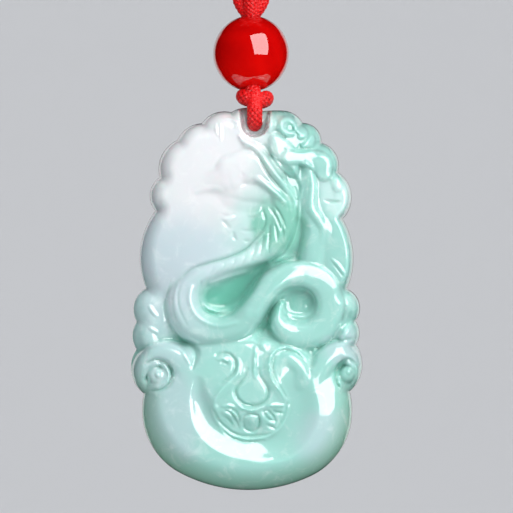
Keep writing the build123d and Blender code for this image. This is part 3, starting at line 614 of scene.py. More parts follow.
        # painted shade: hollows, pockets, low ground and cuts are mixed towards a darker green
        inside = add_node(tree, "ShaderNodeMix", {"data_type": "RGBA"},
                          {0: milky, 6: linear(self.hollow), 7: linear(self.milky_hollow_shade)}).outputs[2]
        hollow_shade = add_node(tree, "ShaderNodeAttribute", {"attribute_name": "hollow_shade"}).outputs["Fac"]
        colour = add_node(tree, "ShaderNodeMix", {"data_type": "RGBA"},
                          {0: hollow_shade, 6: colour, 7: inside}).outputs[2]
        wisps = add_node(tree, "ShaderNodeTexNoise", {"noise_dimensions": "3D"},
                         {"Vector": spot, "Scale": 1 / self.wisp_width, "Detail": 6.0, "Roughness": 0.62,
                          "Distortion": 0.8})
        thin = add_node(tree, "ShaderNodeMapRange", {"interpolation_type": "SMOOTHSTEP"},
                        {"Value": wisps.outputs["Fac"], "From Min": 0.50, "From Max": 0.78,
                         "To Max": self.wisp_most})
        return add_node(tree, "ShaderNodeMix", {"data_type": "RGBA"},
                        {0: thin.outputs[0], 6: colour, 7: linear(self.wisp)}).outputs[2]

    def _zones(self, tree: bpy.types.NodeTree, place: bpy.types.NodeSocket,
               ovals: tuple) -> bpy.types.NodeSocket:
        """Mask of soft-edged ovals of the plaque, from 1 inside to 0 outside.

        Args:
            tree: the node tree.
            place: places as shares of the half width and the height.
            ovals: the ovals.

        Returns:
            The mask's socket.
        """
        mask = None
        for oval in ovals:
            away = add_node(tree, "ShaderNodeVectorMath", {"operation": "SUBTRACT"},
                            {0: place, 1: (oval.across, 0.0, oval.up)}).outputs[0]
            away = add_node(tree, "ShaderNodeVectorMath", {"operation": "MULTIPLY"},
                            {0: away, 1: (1 / oval.wide, 0.0, 1 / oval.high)}).outputs[0]
            length = add_node(tree, "ShaderNodeVectorMath", {"operation": "LENGTH"}, {0: away})
            faded = add_node(tree, "ShaderNodeMapRange", {"interpolation_type": "SMOOTHSTEP"},
                             {"Value": length.outputs["Value"], "From Min": self.zone_edge,
                              "From Max": self.zone_core}).outputs[0]
            if mask is not None:
                faded = add_node(tree, "ShaderNodeMath", {"operation": "MAXIMUM"},
                                 {0: mask, 1: faded}).outputs[0]
            mask = faded
        return mask


@dataclass(frozen=True)
class PolishedAgate:
    """Red agate, drilled and tumbled to a high gloss.

    It gives the eye one deep, even red that is a little lighter where light gathers at the foot of the
    bead, with faint bands, and hard window reflections on top.
    """

    name: str = "agate_tumbled_gloss"
    deep: str = "#A80404"
    bright: str = "#DC0A06"
    ior: float = 1.54
    roughness: float = 0.04
    band: float = 2.66 * MM
    cloud: float = 2.2 * MM
    band_share: float = 0.16      # how much the bands, the clouds and the foot's glow lighten the red
    cloud_share: float = 0.12
    glow_share: float = 0.75
    glow_from: float = 0.25       # shares of the radius above the middle between which the glow grows
    glow_full: float = -0.95
    depth: float = 0.8 * MM       # how far light goes in
    depth_share: float = 0.35     # how much of it does
    depth_colour: tuple = (1.0, 0.25, 0.2)
    wax: float = 1.0              # a thin coat of clear wax
    wax_ior: float = 1.45
    wax_roughness: float = 0.03

    def make(self, centre: Vector, radius: float) -> bpy.types.Material:
        """Build the agate around the bead's middle.

        Args:
            centre: the bead's middle.
            radius: the bead's radius.

        Returns:
            The material.
        """
        material, tree = new_material(self.name)
        spot = add_node(tree, "ShaderNodeTexCoord").outputs["Object"]
        drift = add_node(tree, "ShaderNodeTexNoise", {"noise_dimensions": "3D"},
                         {"Vector": spot, "Scale": 1 / self.cloud, "Detail": 2.0})
        middle = add_node(tree, "ShaderNodeVectorMath", {"operation": "SUBTRACT"},
                          {0: spot, 1: tuple(centre)}).outputs[0]
        height = add_node(tree, "ShaderNodeSeparateXYZ", None, {0: middle}).outputs["Z"]
        low = add_node(tree, "ShaderNodeMapRange", {"interpolation_type": "SMOOTHSTEP"},
                       {"Value": height, "From Min": self.glow_from * radius,
                        "From Max": self.glow_full * radius, "To Max": self.glow_share}).outputs[0]
        bands = add_node(tree, "ShaderNodeTexWave", {"wave_type": "BANDS", "bands_direction": "DIAGONAL"},
                         {"Vector": spot, "Scale": 2 * WAVE_LENGTH / math.sqrt(3) / self.band,
                          "Distortion": 5.0, "Detail": 3.0})
        tone = add_node(tree, "ShaderNodeMath", {"operation": "MULTIPLY_ADD"},
                        {0: bands.outputs["Fac"], 1: self.band_share, 2: low})
        tone = add_node(tree, "ShaderNodeMath", {"operation": "MULTIPLY_ADD", "use_clamp": True},
                        {0: drift.outputs["Fac"], 1: self.cloud_share, 2: tone.outputs[0]})
        colour = add_node(tree, "ShaderNodeMix", {"data_type": "RGBA"},
                          {0: tone.outputs[0], 6: linear(self.deep), 7: linear(self.bright)})
        stone = add_node(tree, "ShaderNodeBsdfPrincipled", {"subsurface_method": "RANDOM_WALK"},
                         {"Base Color": colour.outputs[2], "Roughness": self.roughness, "IOR": self.ior,
                          "Subsurface Weight": self.depth_share, "Subsurface Radius": self.depth_colour,
                          "Subsurface Scale": self.depth, "Coat Weight": self.wax,
                          "Coat Roughness": self.wax_roughness, "Coat IOR": self.wax_ior})
        add_node(tree, "ShaderNodeOutputMaterial", None, {"Surface": stone.outputs[0]})
        return material


@dataclass(frozen=True)
class BraidedNylon:
    """Dyed nylon yarn, braided tight into a round cord.

    It gives the eye bright silky plaits, painted scarlet on their crowns as light and dark red in the
    crossings as shade, with the fine lengthwise lines of the yarn.
    """

    name: str = "nylon_braided_red"
    # painted light on the plaits' crowns, and painted shade in their crossings
    crown: str = "#E20A0E"
    shade: str = "#6A0205"
    silk: str = "#FF3A34"
    ior: float = 1.53
    roughness: float = 0.34
    girth: float = 1.32 * MM      # round one plait
    filament: float = 0.04777 * MM    # about twice as coarse as the real ones, so that it shows
    filament_depth: float = 0.04 * MM
    fuzz: float = 0.5 * MM
    fuzz_share: float = 0.20

    def make(self) -> bpy.types.Material:
        """Build the yarn; its lines follow each plait's own length.

        Returns:
            The material.
        """
        material, tree = new_material(self.name)
        uv = add_node(tree, "ShaderNodeUVMap", {"uv_map": "plait"}).outputs[0]
        spot = add_node(tree, "ShaderNodeTexCoord").outputs["Object"]
        lines = add_node(tree, "ShaderNodeTexWave", {"wave_type": "BANDS", "bands_direction": "X"},
                         {"Vector": uv, "Scale": WAVE_LENGTH * self.girth / self.filament,
                          "Distortion": 2.0, "Detail": 2.0, "Detail Scale": 2.0})
        fuzz = add_node(tree, "ShaderNodeTexNoise", {"noise_dimensions": "3D"},
                        {"Vector": spot, "Scale": 1 / self.fuzz, "Detail": 3.0})
        # painted light and shade: lighter on each plait's crown and where it rides over, darker between
        crown = add_node(tree, "ShaderNodeAttribute", {"attribute_name": "crown"}).outputs["Fac"]
        tone = add_node(tree, "ShaderNodeMath", {"operation": "MULTIPLY_ADD", "use_clamp": True},
                        {0: fuzz.outputs["Fac"], 1: self.fuzz_share, 2: crown})
        colour = add_node(tree, "ShaderNodeMix", {"data_type": "RGBA"},
                          {0: tone.outputs[0], 6: linear(self.shade), 7: linear(self.crown)})
        bump = add_node(tree, "ShaderNodeBump", None,
                        {"Strength": 0.5, "Distance": self.filament_depth, "Height": lines.outputs["Fac"]})
        yarn = add_node(tree, "ShaderNodeBsdfPrincipled", None,
                        {"Base Color": colour.outputs[2], "Roughness": self.roughness, "IOR": self.ior,
                         "Sheen Weight": 0.12, "Sheen Roughness": 0.4, "Sheen Tint": linear(self.silk),
                         "Normal": bump.outputs[0]})
        add_node(tree, "ShaderNodeOutputMaterial", None, {"Surface": yarn.outputs[0]})
        return material


@dataclass(frozen=True)
class PaleFloor:
    """Matt painted board, rolled smooth: a plain pale ground with no pattern."""

    name: str = "board_painted_pale"
    colour: str = "#D9DADC"
    roughness: float = 0.85

    def make(self) -> bpy.types.Material:
        """Build the paint.

        Returns:
            The material.
        """
        material, tree = new_material(self.name)
        paint = add_node(tree, "ShaderNodeBsdfPrincipled", None,
                         {"Base Color": linear(self.colour), "Roughness": self.roughness})
        add_node(tree, "ShaderNodeOutputMaterial", None, {"Surface": paint.outputs[0]})
        return material


def new_object(name: str, vertices: np.ndarray, faces: list,
               material: bpy.types.Material) -> bpy.types.Object:
    """Make a smooth mesh object with one material.

    Args:
        name: the object's name.
        vertices: one row of three metres for each vertex.
        faces: vertex numbers of each face.
        material: the finish.

    Returns:
        The linked object.
    """
    mesh = bpy.data.meshes.new(name)
    mesh.from_pydata(np.asarray(vertices).tolist(), [], faces)
    mesh.update()
    mesh.materials.append(material)
    mesh.shade_smooth()
    thing = bpy.data.objects.new(name, mesh)
    bpy.context.scene.collection.objects.link(thing)
    return thing


def settle(piece: bpy.types.Object, body: Body, slot: Slot, *nodes: str) -> bpy.types.Object:
    """Let a piece ride on its body and stand for its nodes.

    Args:
        piece: the piece.
        body: the body that carries it.
        slot: the record's material slot; not used.
        nodes: the CAD nodes that it replaces.

    Returns:
        The piece.
    """
    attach(piece, body.value)
    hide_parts(*nodes)
    return piece


def turned(profile: list, sides: int, closed: bool = False) -> tuple[np.ndarray, list]:
    """Turn a profile round the Z axis.

    Args:
        profile: pairs of a radius and a height.
        sides: how many steps go round.
        closed: whether the profile's end joins its start.

    Returns:
        Vertices, one ring after another, and faces.
    """
    turns = np.linspace(0, 2 * math.pi, sides, endpoint=False)
    rings = [np.column_stack([r * np.cos(turns), r * np.sin(turns), np.full(sides, z)]) for r, z in profile]
    bands = len(rings) if closed else len(rings) - 1
    pairs = [(k * sides, (k + 1) % len(rings) * sides) for k in range(bands)]
    faces = [(here + n, there + n, there + (n + 1) % sides, here + (n + 1) % sides)
             for here, there in pairs for n in range(sides)]
    return np.vstack(rings), faces


def eased(share: np.ndarray) -> np.ndarray:
    """A share from 0 to 1 that starts and ends gently."""
    return share ** 2 * (3 - 2 * share)


def smooth_path(rows: list | tuple, steps: int) -> np.ndarray:
    """Smooth path through rows, with every column carried along.

    Args:
        rows: the stations.
        steps: points for each stretch between two stations.

    Returns:
        One row for each point.
    """
    knots = [np.array(row, float) for row in rows]
    knots = [2 * knots[0] - knots[1], *knots, 2 * knots[-1] - knots[-2]]
    points = []
    for a, b, c, d in zip(knots, knots[1:], knots[2:], knots[3:]):
        for step in range(steps):
            t = step / steps
            points.append(b + (c - a) * t / 2 + (2 * a - 5 * b + 4 * c - d) * t ** 2 / 2
                          + (3 * b - a - 3 * c + d) * t ** 3 / 2)
    points.append(knots[-2])
    return np.array(points)


def evenly(line: np.ndarray, count: int) -> np.ndarray:
    """Points at even distances along a line.

    Args:
        line: the line's points.
        count: how many points are wanted.

    Returns:
        The points.
    """
    reach = np.concatenate([[0], np.cumsum(np.linalg.norm(np.diff(line, axis=0), axis=1))])
    marks = np.linspace(0, reach[-1], count)
    return np.stack([np.interp(marks, reach, line[:, k]) for k in range(line.shape[1])], axis=1)


@dataclass
class Carving:
    """The carved relief of the plaque's front, in millimetres from its foot's middle."""

    half_width: float
    height: float
    front: float          # deepest relief
    hole: tuple           # place of the hanging hole
    slot_floor: float     # how far the cord's slot stands before the widest outline
    ground_level: float = 0.42
    foot_level: float = 0.25
    lowest_level: float = 0.15
    soft_blend: float = 0.12
    crisp_blend: float = 0.03
    line_power: float = 1.5
    fine_power: float = 1.5
    flat_power: float = 7.0
    plate_lean: float = 0.09      # how much a plate's height falls to the right, for each millimetre
    crown_left: float = 0.20      # how far each side lies below the ridge, as a share of the relief
    crown_right: float = 0.06
    ridge_across: float = 0.08    # where that ridge runs, right of the middle
    rim_roll: float = 2.3
    foot_roll: float = 3.8        # the bowl's foot is rounded further in than the rest of the rim
    foot_from: float = 0.27       # share of the height under which that starts
    foot_full: float = 0.13
    flank_roll: float = 1.1       # the upper right flank is rounded less
    flank_from: tuple = (0.60, 0.50)
    flank_full: tuple = (0.78, 0.56)
    slot_radius: float = 1.42
    slot_blend: float = 0.5
    slot_flare: float = 0.13      # how much wider the slot gets for each millimetre above the hole
    curve_steps: int = 8
    arc_steps: int = 60
    cut_steps: int = 4            # for each point of a fine stroke
    cut_tip: float = 0.12         # how far into the taper's half turn a stroke starts and ends
    cut_swell: float = 0.5        # how slowly it thins towards its tips

    def ring(self, count: int) -> np.ndarray:
        """The rim as a fine ring of even points, clockwise from the notch left of the hole.

        Args:
            count: how many points.

        Returns:
            The points.
        """
        notches = [np.array([row.across * self.half_width, row.up * self.height]) for row in RIM]
        arcs = [self._arc(a, b, row.bulge) for a, b, row in zip(notches, notches[1:] + notches[:1], RIM)]
        line = np.vstack([*arcs, notches[:1]])
        return evenly(line, count + 1)[:-1]

    def _arc(self, first: np.ndarray, second: np.ndarray, bulge: float) -> np.ndarray:
        """Bend one arc of the rim.

        Args:
            first: the notch where it starts.
            second: the notch where it ends.
            bulge: how far it swells, as a share of its chord.

        Returns:
            Its points, without the end.
        """
        chord = second - first
        length = np.hypot(*chord)
        along = chord / length
        outward = np.array([-chord[1], chord[0]]) / length
        rise = bulge * length
        radius = (length ** 2 / 4 + rise ** 2) / (2 * rise)
        centre = (first + second) / 2 - outward * (radius - rise)
        half = math.asin(length / 2 / radius)
        turns = half - 2 * half * np.arange(self.arc_steps)[:, None] / self.arc_steps
        return centre + radius * (outward * np.cos(turns) - along * np.sin(turns))

    def _body(self, away: np.ndarray, height: np.ndarray, power: np.ndarray) -> np.ndarray:
        """Round section of a carved body, from its crest to its foot."""
        rise = np.sqrt(1 - np.minimum(away, 1) ** power)
        return np.where(away < 1, self.foot_level + (height - self.foot_level) * rise, 0)

    def _stroke(self, points: np.ndarray, path: np.ndarray, section: Section) -> np.ndarray:
        """Level of a form that follows a path.

        Args:
            points: places on the front.
            path: the path's x, y, half width, height and fullness.
            section: how the form is cut.

        Returns:
            One level for each place, nought where the form doesn't reach.
        """
        level = np.zeros(len(points))
        reach = path[:, 2].max()
        low = path[:, :2].min(axis=0) - reach
        high = path[:, :2].max(axis=0) + reach
        near = np.flatnonzero(((points > low) & (points < high)).all(axis=1))
        if not len(near):
            return level
        close = points[near]
        best = np.zeros(len(near))
        for (x0, y0, w0, h0, p0), (x1, y1, w1, h1, p1) in zip(path, path[1:]):
            run = np.array([x1 - x0, y1 - y0])
            t = np.clip((close - (x0, y0)) @ run / max(run @ run, 1e-12), 0, 1)
            width = w0 + (w1 - w0) * t
            height = h0 + (h1 - h0) * t
            away = np.hypot(*(close - (x0, y0) - t[:, None] * run).T) / np.maximum(width, 1e-6)
            if section is Section.ROUND:
                found = self._body(away, height, p0 + (p1 - p0) * t)
            elif section is Section.FLAT:
                found = height * (1 - np.minimum(away, 1) ** self.flat_power)
            elif section is Section.LOW:
                found = height * (1 - np.minimum(away, 1) ** 2) ** self.line_power
            else:
                found = height * (1 - np.minimum(away, 1) ** self.fine_power)
            best = np.maximum(best, found)
        level[near] = best
        return level

    @staticmethod
    def _blend(first: np.ndarray, second: np.ndarray, width: float) -> np.ndarray:
        """The larger of two levels, with the crease between them filled over a small width."""
        overlap = np.maximum(width - np.abs(first - second), 0) / width
        return np.maximum(first, second) + overlap ** 2 * width / 4

    def _scaled(self, rows: list) -> np.ndarray:
        """Turn a table's shares into a smooth path.

        Args:
            rows: the stations.

        Returns:
            The path in millimetres, with its heights made positive.
        """
        path = smooth_path(rows, self.curve_steps)
        path[:, 0] *= self.half_width
        path[:, 1] *= self.height
        path[:, 2] *= self.half_width
        path[:, 3] = np.abs(path[:, 3])
        return path

    def _graved(self, points: np.ndarray, stroke: Graver) -> np.ndarray:
        """Level of one fine stroke, tapered at both ends.

        Args:
            points: places on the front.
            stroke: the stroke.

        Returns:
            One level for each place.
        """
        rows = [(across * self.half_width, up * self.height) for across, up in stroke.points]
        line = evenly(smooth_path(rows, self.curve_steps), self.cut_steps * len(rows) + 1)
        taper = np.sin(np.linspace(self.cut_tip, math.pi - self.cut_tip, len(line))) ** self.cut_swell
        path = np.column_stack([line, stroke.half_width * (0.5 + 0.5 * taper), abs(stroke.depth) * taper,
                                np.ones(len(line))])
        return math.copysign(1, stroke.depth) * self._stroke(points, path, Section.FINE)

    def levels(self, points: np.ndarray) -> np.ndarray:
        """Level of the carving at each point, as shares of the relief, before the rim is rolled.

        Args:
            points: places on the front.

        Returns:
            One level for each.
        """
        shares = points / (self.half_width, self.height)
        level = np.full(len(points), self.ground_level)
        for dome in DOMES.values():
            away = np.hypot(*((shares - (dome.across, dome.up)) / (dome.wide, dome.high)).T)
            level = self._blend(level, self._body(away, dome.top, dome.power), self.soft_blend)
        for rows in BANDS.values():
            level = self._blend(level, self._stroke(points, self._scaled(rows), Section.ROUND),
                                self.crisp_blend)
        plates = []
        for rows in PLATES.values():
            path = self._scaled(rows)
            lean = 1 - self.plate_lean * (points[:, 0] - path[:, 0].mean())
            plates.append(lean * self._stroke(points, path, Section.FLAT))
        level = level + np.max(plates, axis=0)
        level = level - self.pockets(points)
        for rows in LINES.values():
            sign = math.copysign(1, rows[0].height)
            level = level + sign * self._stroke(points, self._scaled(rows), Section.LOW)
        aside = shares[:, 0] - self.ridge_across
        sides = np.where(aside < 0, self.crown_left, self.crown_right) * aside ** 2
        return np.maximum(level - sides, self.lowest_level)

    def pockets(self, points: np.ndarray) -> np.ndarray:
        """How deep the flat-bottomed pockets are cut at each point, as a share of the relief."""
        return sum(self._stroke(points, self._scaled(rows), Section.FLAT) for rows in POCKETS.values())

    def fine(self, points: np.ndarray) -> np.ndarray:
        """What the fine strokes add to each point's level."""
        return sum(self._graved(points, stroke) for group in STROKES.values() for stroke in group)

    def finished(self, points: np.ndarray, level: np.ndarray, edge: np.ndarray) -> np.ndarray:
        """Relief in millimetres, with the cord's slot cut down to the hole and the rim rolled.

        Args:
            points: places on the front.
            level: the carving's level at each.
            edge: each point's distance from the rim.

        Returns:
            How far each point stands before the widest outline.
        """
        beside, above = (points - self.hole).T
        away = np.hypot(beside, np.minimum(above, 0)) - self.slot_flare * np.maximum(above, 0)
        clear = eased(np.clip((away - self.slot_radius) / self.slot_blend, 0, 1))
        relief = self.slot_floor + (level * self.front - self.slot_floor) * clear
        shares = points / (self.half_width, self.height)
        low = np.clip((self.foot_from - shares[:, 1]) / (self.foot_from - self.foot_full), 0, 1)
        roll = self.rim_roll + (self.foot_roll - self.rim_roll) * eased(low)
        flank = (shares - self.flank_from) / np.subtract(self.flank_full, self.flank_from)
        flank = np.clip(flank, 0, 1).prod(axis=1)
        roll = roll + (self.flank_roll - roll) * flank
        inward = np.clip(1 - edge / roll, 0, 1)
        return relief * np.sqrt(1 - inward ** 2)


@dataclass
class JadePlaque:
    """The carved plaque, drilled for its cord, with a plain polished back."""

    half_width: float = 15.2 * MM
    height: float = 50.7 * MM
    front: float = 6.0 * MM
    back: float = 1.8 * MM
    slot_floor: float = 1.8 * MM  # how far the slot round the hole stands before the widest outline
    hole_across: float = 0.065    # share of the half width
    hole_radius: float = 1.2 * MM
    hole_edge: float = 1.1 * MM
    hole_sides: int = 64
    mouth_round: float = 0.25 * MM
    mouth_rows: int = 5
    edge_roll: tuple = ((0.996, 0.16), (0.988, 0.42), (0.974, 0.66), (0.955, 0.84), (0.93, 0.95),
                        (0.9, 1.0), (0.89, 1.0))      # shares of the outline and of the back's depth
    cells_across: int = 232
    cells_up: int = 356
    grid_corner: tuple = (-0.52, 0.94)    # where on the rim the grid's upper left corner lies
    edge_density: float = 0.45    # how much closer together the cells are at the rim
    ring_points: int = 8          # for each cell along the rim
    rim_points: int = 1600        # to which distances are measured
    unfold_rounds: int = 5
    unfold_steps: int = 300
    unfold_reach: int = 45        # cells round a fold that give way
    unfold_pull: float = 1.3      # how far past its goal a point is drawn
    polish_reach: int = 1         # cells
    # painted shade, a darker green, in the hollows, pockets, low ground and cuts:
    hollow_shade_reach: int = 9         # cells over which a hollow is told from a swelling
    hollow_shade_gain: float = 5.0      # how fast a hollow takes its painted shade, and the most that it takes
    hollow_shade_most: float = 0.6
    pocket_shade_gain: float = 3.4
    pocket_shade_most: float = 0.8
    ground_level: float = 0.50    # level below which the ground takes painted shade
    ground_shade_gain: float = 1.5
    ground_shade_most: float = 0.25
    cut_shade_gain: float = 7.0
    cut_shade_most: float = 0.35
    rim_band: float = 3.2         # millimetres from the rim over which the lower rim is painted with shade
    sharp: float = math.radians(50)   # an edge over this angle is shaded as an edge

    def __post_init__(self) -> None:
        """Take the plaque's place from the hinge in its hole."""
        hinge = frame["record"]["behaviour"]["joints"][0]["pos_m"]
        self.hole_x, self.hole_z = hinge[0], hinge[2]
        self.middle_x = self.hole_x - self.hole_across * self.half_width
        self.foot_z = self.hole_z + self.hole_radius + self.hole_edge - self.height

    def build(self, finish: PolishedJadeite) -> bpy.types.Object:
        """Carve, drill and dress the plaque.

        Args:
            finish: the stone.

        Returns:
            The piece.
        """
        carving = Carving(self.half_width / MM, self.height / MM, self.front / MM,
                          ((self.hole_x - self.middle_x) / MM, (self.hole_z - self.foot_z) / MM),
                          self.slot_floor / MM)
        points, ring = self._grid(carving)
        flat = points.reshape(-1, 2)
        level = self._softened(carving.levels(flat).reshape(points.shape[:2]), self.polish_reach)
        fine = carving.fine(flat).reshape(level.shape)
        edge = self._rim_distance(flat, ring)
        carved = (level + fine).reshape(-1)
        relief = carving.finished(flat, carved, edge).reshape(level.shape)
        relief[[0, -1]] = 0
        relief[:, [0, -1]] = 0
        pockets = self._softened(carving.pockets(flat).reshape(level.shape), self.polish_reach)
        # painted shade for the hollows, pockets, low ground and cuts
        hollow_shade = self._hollow_shade(level, pockets, fine)
        # how near the rim each point is, for the lower rim's painted shade
        rim = 1 - edge / self.rim_band
        vertices, faces, first_back = self._mesh(points, relief)
        plaque = new_object("carved_jade_plaque", vertices, faces, finish.make(self))
        for name, values in (("hollow_shade", hollow_shade), ("rim", rim)):
            full = np.zeros(len(vertices))
            full[:first_back] = np.clip(values.reshape(-1), 0, 1)
            layer = plaque.data.attributes.new(name, "FLOAT", "POINT")
            layer.data.foreach_set("value", full)
        self._drill(plaque)
        plaque.data.set_sharp_from_angle(angle=self.sharp)
        return settle(plaque, Body.PLAQUE, Slot.JADE, "jade_plaque")

    def _hollow_shade(self, level: np.ndarray, pockets: np.ndarray, fine: np.ndarray) -> np.ndarray:
        """How much painted shade, a darker green, each point takes in its hollows, pockets, low ground and
        cuts.

        Args:
            level: the carving's level.
            pockets: how deep the pockets are cut.
            fine: what the fine strokes add.

        Returns:
            One share for each point.
        """
        around = self._softened(level, self.hollow_shade_reach)
        hollow_shade = np.maximum(np.clip((around - level) * self.hollow_shade_gain, 0, self.hollow_shade_most),
                            np.clip(pockets * self.pocket_shade_gain, 0, self.pocket_shade_most))
        hollow_shade = hollow_shade + np.clip((self.ground_level - level) * self.ground_shade_gain, 0, self.ground_shade_most)
        return hollow_shade + np.clip(-fine * self.cut_shade_gain, 0, self.cut_shade_most)

    def _marks(self, cells: int) -> np.ndarray:
        """Marks from 0 to 1 between cells, closer together at both ends."""
        even = np.linspace(0, 1, cells + 1)
        return (1 - self.edge_density) * even + self.edge_density * (0.5 - 0.5 * np.cos(math.pi * even))

    def _grid(self, carving: Carving) -> tuple[np.ndarray, np.ndarray]:
        """Lay a grid over the outline, closer together near the rim.

        Args:
            carving: the relief, which knows the rim.

        Returns:
            The grid's points, and the rim itself.
        """
        nu, nv = self.cells_across, self.cells_up
        count = 2 * (nu + nv)
        ring = carving.ring(self.ring_points * count)
        corner = np.array(self.grid_corner) * (carving.half_width, carving.height)
        ring = np.roll(ring, -int(np.argmin(np.hypot(*(ring - corner).T))), axis=0)
        ring = np.vstack([ring, ring[:1]])

        def side(start: int, cells: int) -> np.ndarray:
            """The rim's points along one side of the grid."""
            marks = (start + cells * self._marks(cells)) * self.ring_points
            return np.stack([np.interp(marks, np.arange(len(ring)), ring[:, k]) for k in (0, 1)], 1)

        top = side(0, nu)
        right = side(nu, nv)
        bottom = side(nu + nv, nu)[::-1]
        left = side(2 * nu + nv, nv)[::-1]
        s = self._marks(nu)[:, None, None]
        t = self._marks(nv)[None, :, None]
        edges = (1 - t) * top[:, None] + t * bottom[:, None] + (1 - s) * left[None] + s * right[None]
        corners = ((1 - s) * (1 - t) * top[0] + s * (1 - t) * top[-1]
                   + (1 - s) * t * bottom[0] + s * t * bottom[-1])
        return self._unfolded(edges - corners), carving.ring(self.rim_points)

    def _unfolded(self, points: np.ndarray) -> np.ndarray:
        """Smooth out the folds that the rim's notches press into the grid.

        Args:
            points: the grid, whose outer rows lie on the rim and stay.

        Returns:
            The same array, in which only a few slivers at the rim may still be turned over.
        """
        even = np.indices(points.shape[:2]).sum(axis=0)[1:-1, 1:-1, None] % 2 == 0
        for _ in range(self.unfold_rounds):
            near = self._softened(self._folded(points).astype(float), self.unfold_reach)[1:, 1:, None] > 0
            if not near.any():
                break
            for step in range(self.unfold_steps):
                before, after = points[:-2, 1:-1], points[2:, 1:-1]
                above, below = points[1:-1, :-2], points[1:-1, 2:]
                across = (after - before) / 2
                down = (below - above) / 2
                wide = (across ** 2).sum(axis=2)[..., None]
                high = (down ** 2).sum(axis=2)[..., None]
                slant = (across * down).sum(axis=2)[..., None]
                twist = (points[2:, 2:] - points[:-2, 2:] - points[2:, :-2] + points[:-2, :-2]) / 2
                goal = high * (after + before) + wide * (below + above) - slant * twist
                goal = goal / (2 * (wide + high))
                turn = near & (even if step % 2 else ~even)
                points[1:-1, 1:-1] += self.unfold_pull * turn * (goal - points[1:-1, 1:-1])
        return points

    @staticmethod
    def _folded(points: np.ndarray) -> np.ndarray:
        """Find the cells of the grid that cross themselves.

        Args:
            points: the grid.

        Returns:
            One truth for each cell.
        """
        across = np.diff(points, axis=0)
        down = np.diff(points, axis=1)
        halves = slice(None, -1), slice(1, None)
        turns = [across[:, m, 0] * down[n, :, 1] - across[:, m, 1] * down[n, :, 0]
                 for m in halves for n in halves]
        return np.max(turns, axis=0) >= 0

    @staticmethod
    def _rim_distance(points: np.ndarray, ring: np.ndarray) -> np.ndarray:
        """Measure how far each point is from the rim.

        Args:
            points: places on the front.
            ring: the rim's points.

        Returns:
            One distance for each place.
        """
        nearest = np.full(len(points), np.inf)
        for a, b in zip(ring, np.roll(ring, -1, axis=0)):
            run = b - a
            t = np.clip((points - a) @ run / (run @ run), 0, 1)
            nearest = np.minimum(nearest, ((points - a - t[:, None] * run) ** 2).sum(axis=1))
        return np.sqrt(nearest)

    @staticmethod
    def _softened(level: np.ndarray, reach: int) -> np.ndarray:
        """Average values over a few cells both ways.

        Args:
            level: one value for each point of the grid.
            reach: how many cells away still count.

        Returns:
            The averages.
        """
        for axis in (0, 1):
            padded = np.pad(level, [(reach, reach) if k == axis else (0, 0) for k in (0, 1)], "edge")
            weights = np.hanning(2 * reach + 3)[1:-1]
            level = np.apply_along_axis(np.convolve, axis, padded, weights / weights.sum(), "valid")
        return level

    def _mesh(self, points: np.ndarray, relief: np.ndarray) -> tuple[np.ndarray, list, int]:
        """Join the carved front, the rolled edge and the flat back.

        Args:
            points: the grid.
            relief: how far each of its points stands forward.

        Returns:
            Vertices, faces and the number of the first vertex behind the front.
        """
        nu, nv = self.cells_across, self.cells_up
        front = np.column_stack([points[..., 0].ravel() * MM + self.middle_x, -relief.ravel() * MM,
                                 points[..., 1].ravel() * MM + self.foot_z])

        def number(i: int, j: int) -> int:
            """The number of the front's vertex in column i and row j."""
            return i * (nv + 1) + j

        faces = [(number(i, j), number(i + 1, j), number(i + 1, j + 1), number(i, j + 1))
                 for i in range(nu) for j in range(nv)]
        rim = ([number(i, 0) for i in range(nu)] + [number(nu, j) for j in range(nv)]
               + [number(i, nv) for i in range(nu, 0, -1)] + [number(0, j) for j in range(nv, 0, -1)])
        outline = front[rim]
        middle = outline.mean(axis=0)
        rings = []
        for scale, depth in self.edge_roll:
            ring = middle + (outline - middle) * scale
            ring[:, 1] = depth * self.back
            rings.append(ring)
        vertices = np.vstack([front, *rings])
        count, before = len(rim), rim
        for k in range(len(rings)):
            after = list(range(len(front) + k * count, len(front) + (k + 1) * count))
            faces += [(before[n], after[n], after[(n + 1) % count], before[(n + 1) % count])
                      for n in range(count)]
            before = after
        faces.append(tuple(before))
        return vertices, faces, len(front)

    def _drill(self, plaque: bpy.types.Object) -> None:
        """Cut the hanging hole, rounded at both faces.

        Args:
            plaque: the plaque's object.
        """
        reach = self.front + self.back
        turn = np.linspace(0, math.pi / 2, self.mouth_rows)
        widths = self.hole_radius + self.mouth_round * (1 - np.sin(turn))
        depths = self.mouth_round * (1 - np.cos(turn))
        profile = [(widths[0], -reach), *zip(widths, depths - self.slot_floor),
                   *zip(widths[::-1], self.back - depths[::-1]), (widths[0], reach)]
        vertices, faces = turned(profile, self.hole_sides)
        ends = (tuple(range(self.hole_sides))[::-1],
                tuple(range(len(vertices) - self.hole_sides, len(vertices))))
        faces = [face[::-1] for face in faces] + list(ends)
        vertices = vertices[:, [0, 2, 1]] + (self.hole_x, 0.0, self.hole_z)
        cutter = new_object("drill", vertices, faces, plaque.data.materials[0])
        cut = plaque.modifiers.new("drill", "BOOLEAN")
        cut.object = cutter
        cut.operation = "DIFFERENCE"
        cut.solver = "EXACT"
        graph = bpy.context.evaluated_depsgraph_get()
        drilled = bpy.data.meshes.new_from_object(plaque.evaluated_get(graph))
        plaque.modifiers.clear()
        plaque.data = drilled
        bpy.data.objects.remove(cutter)


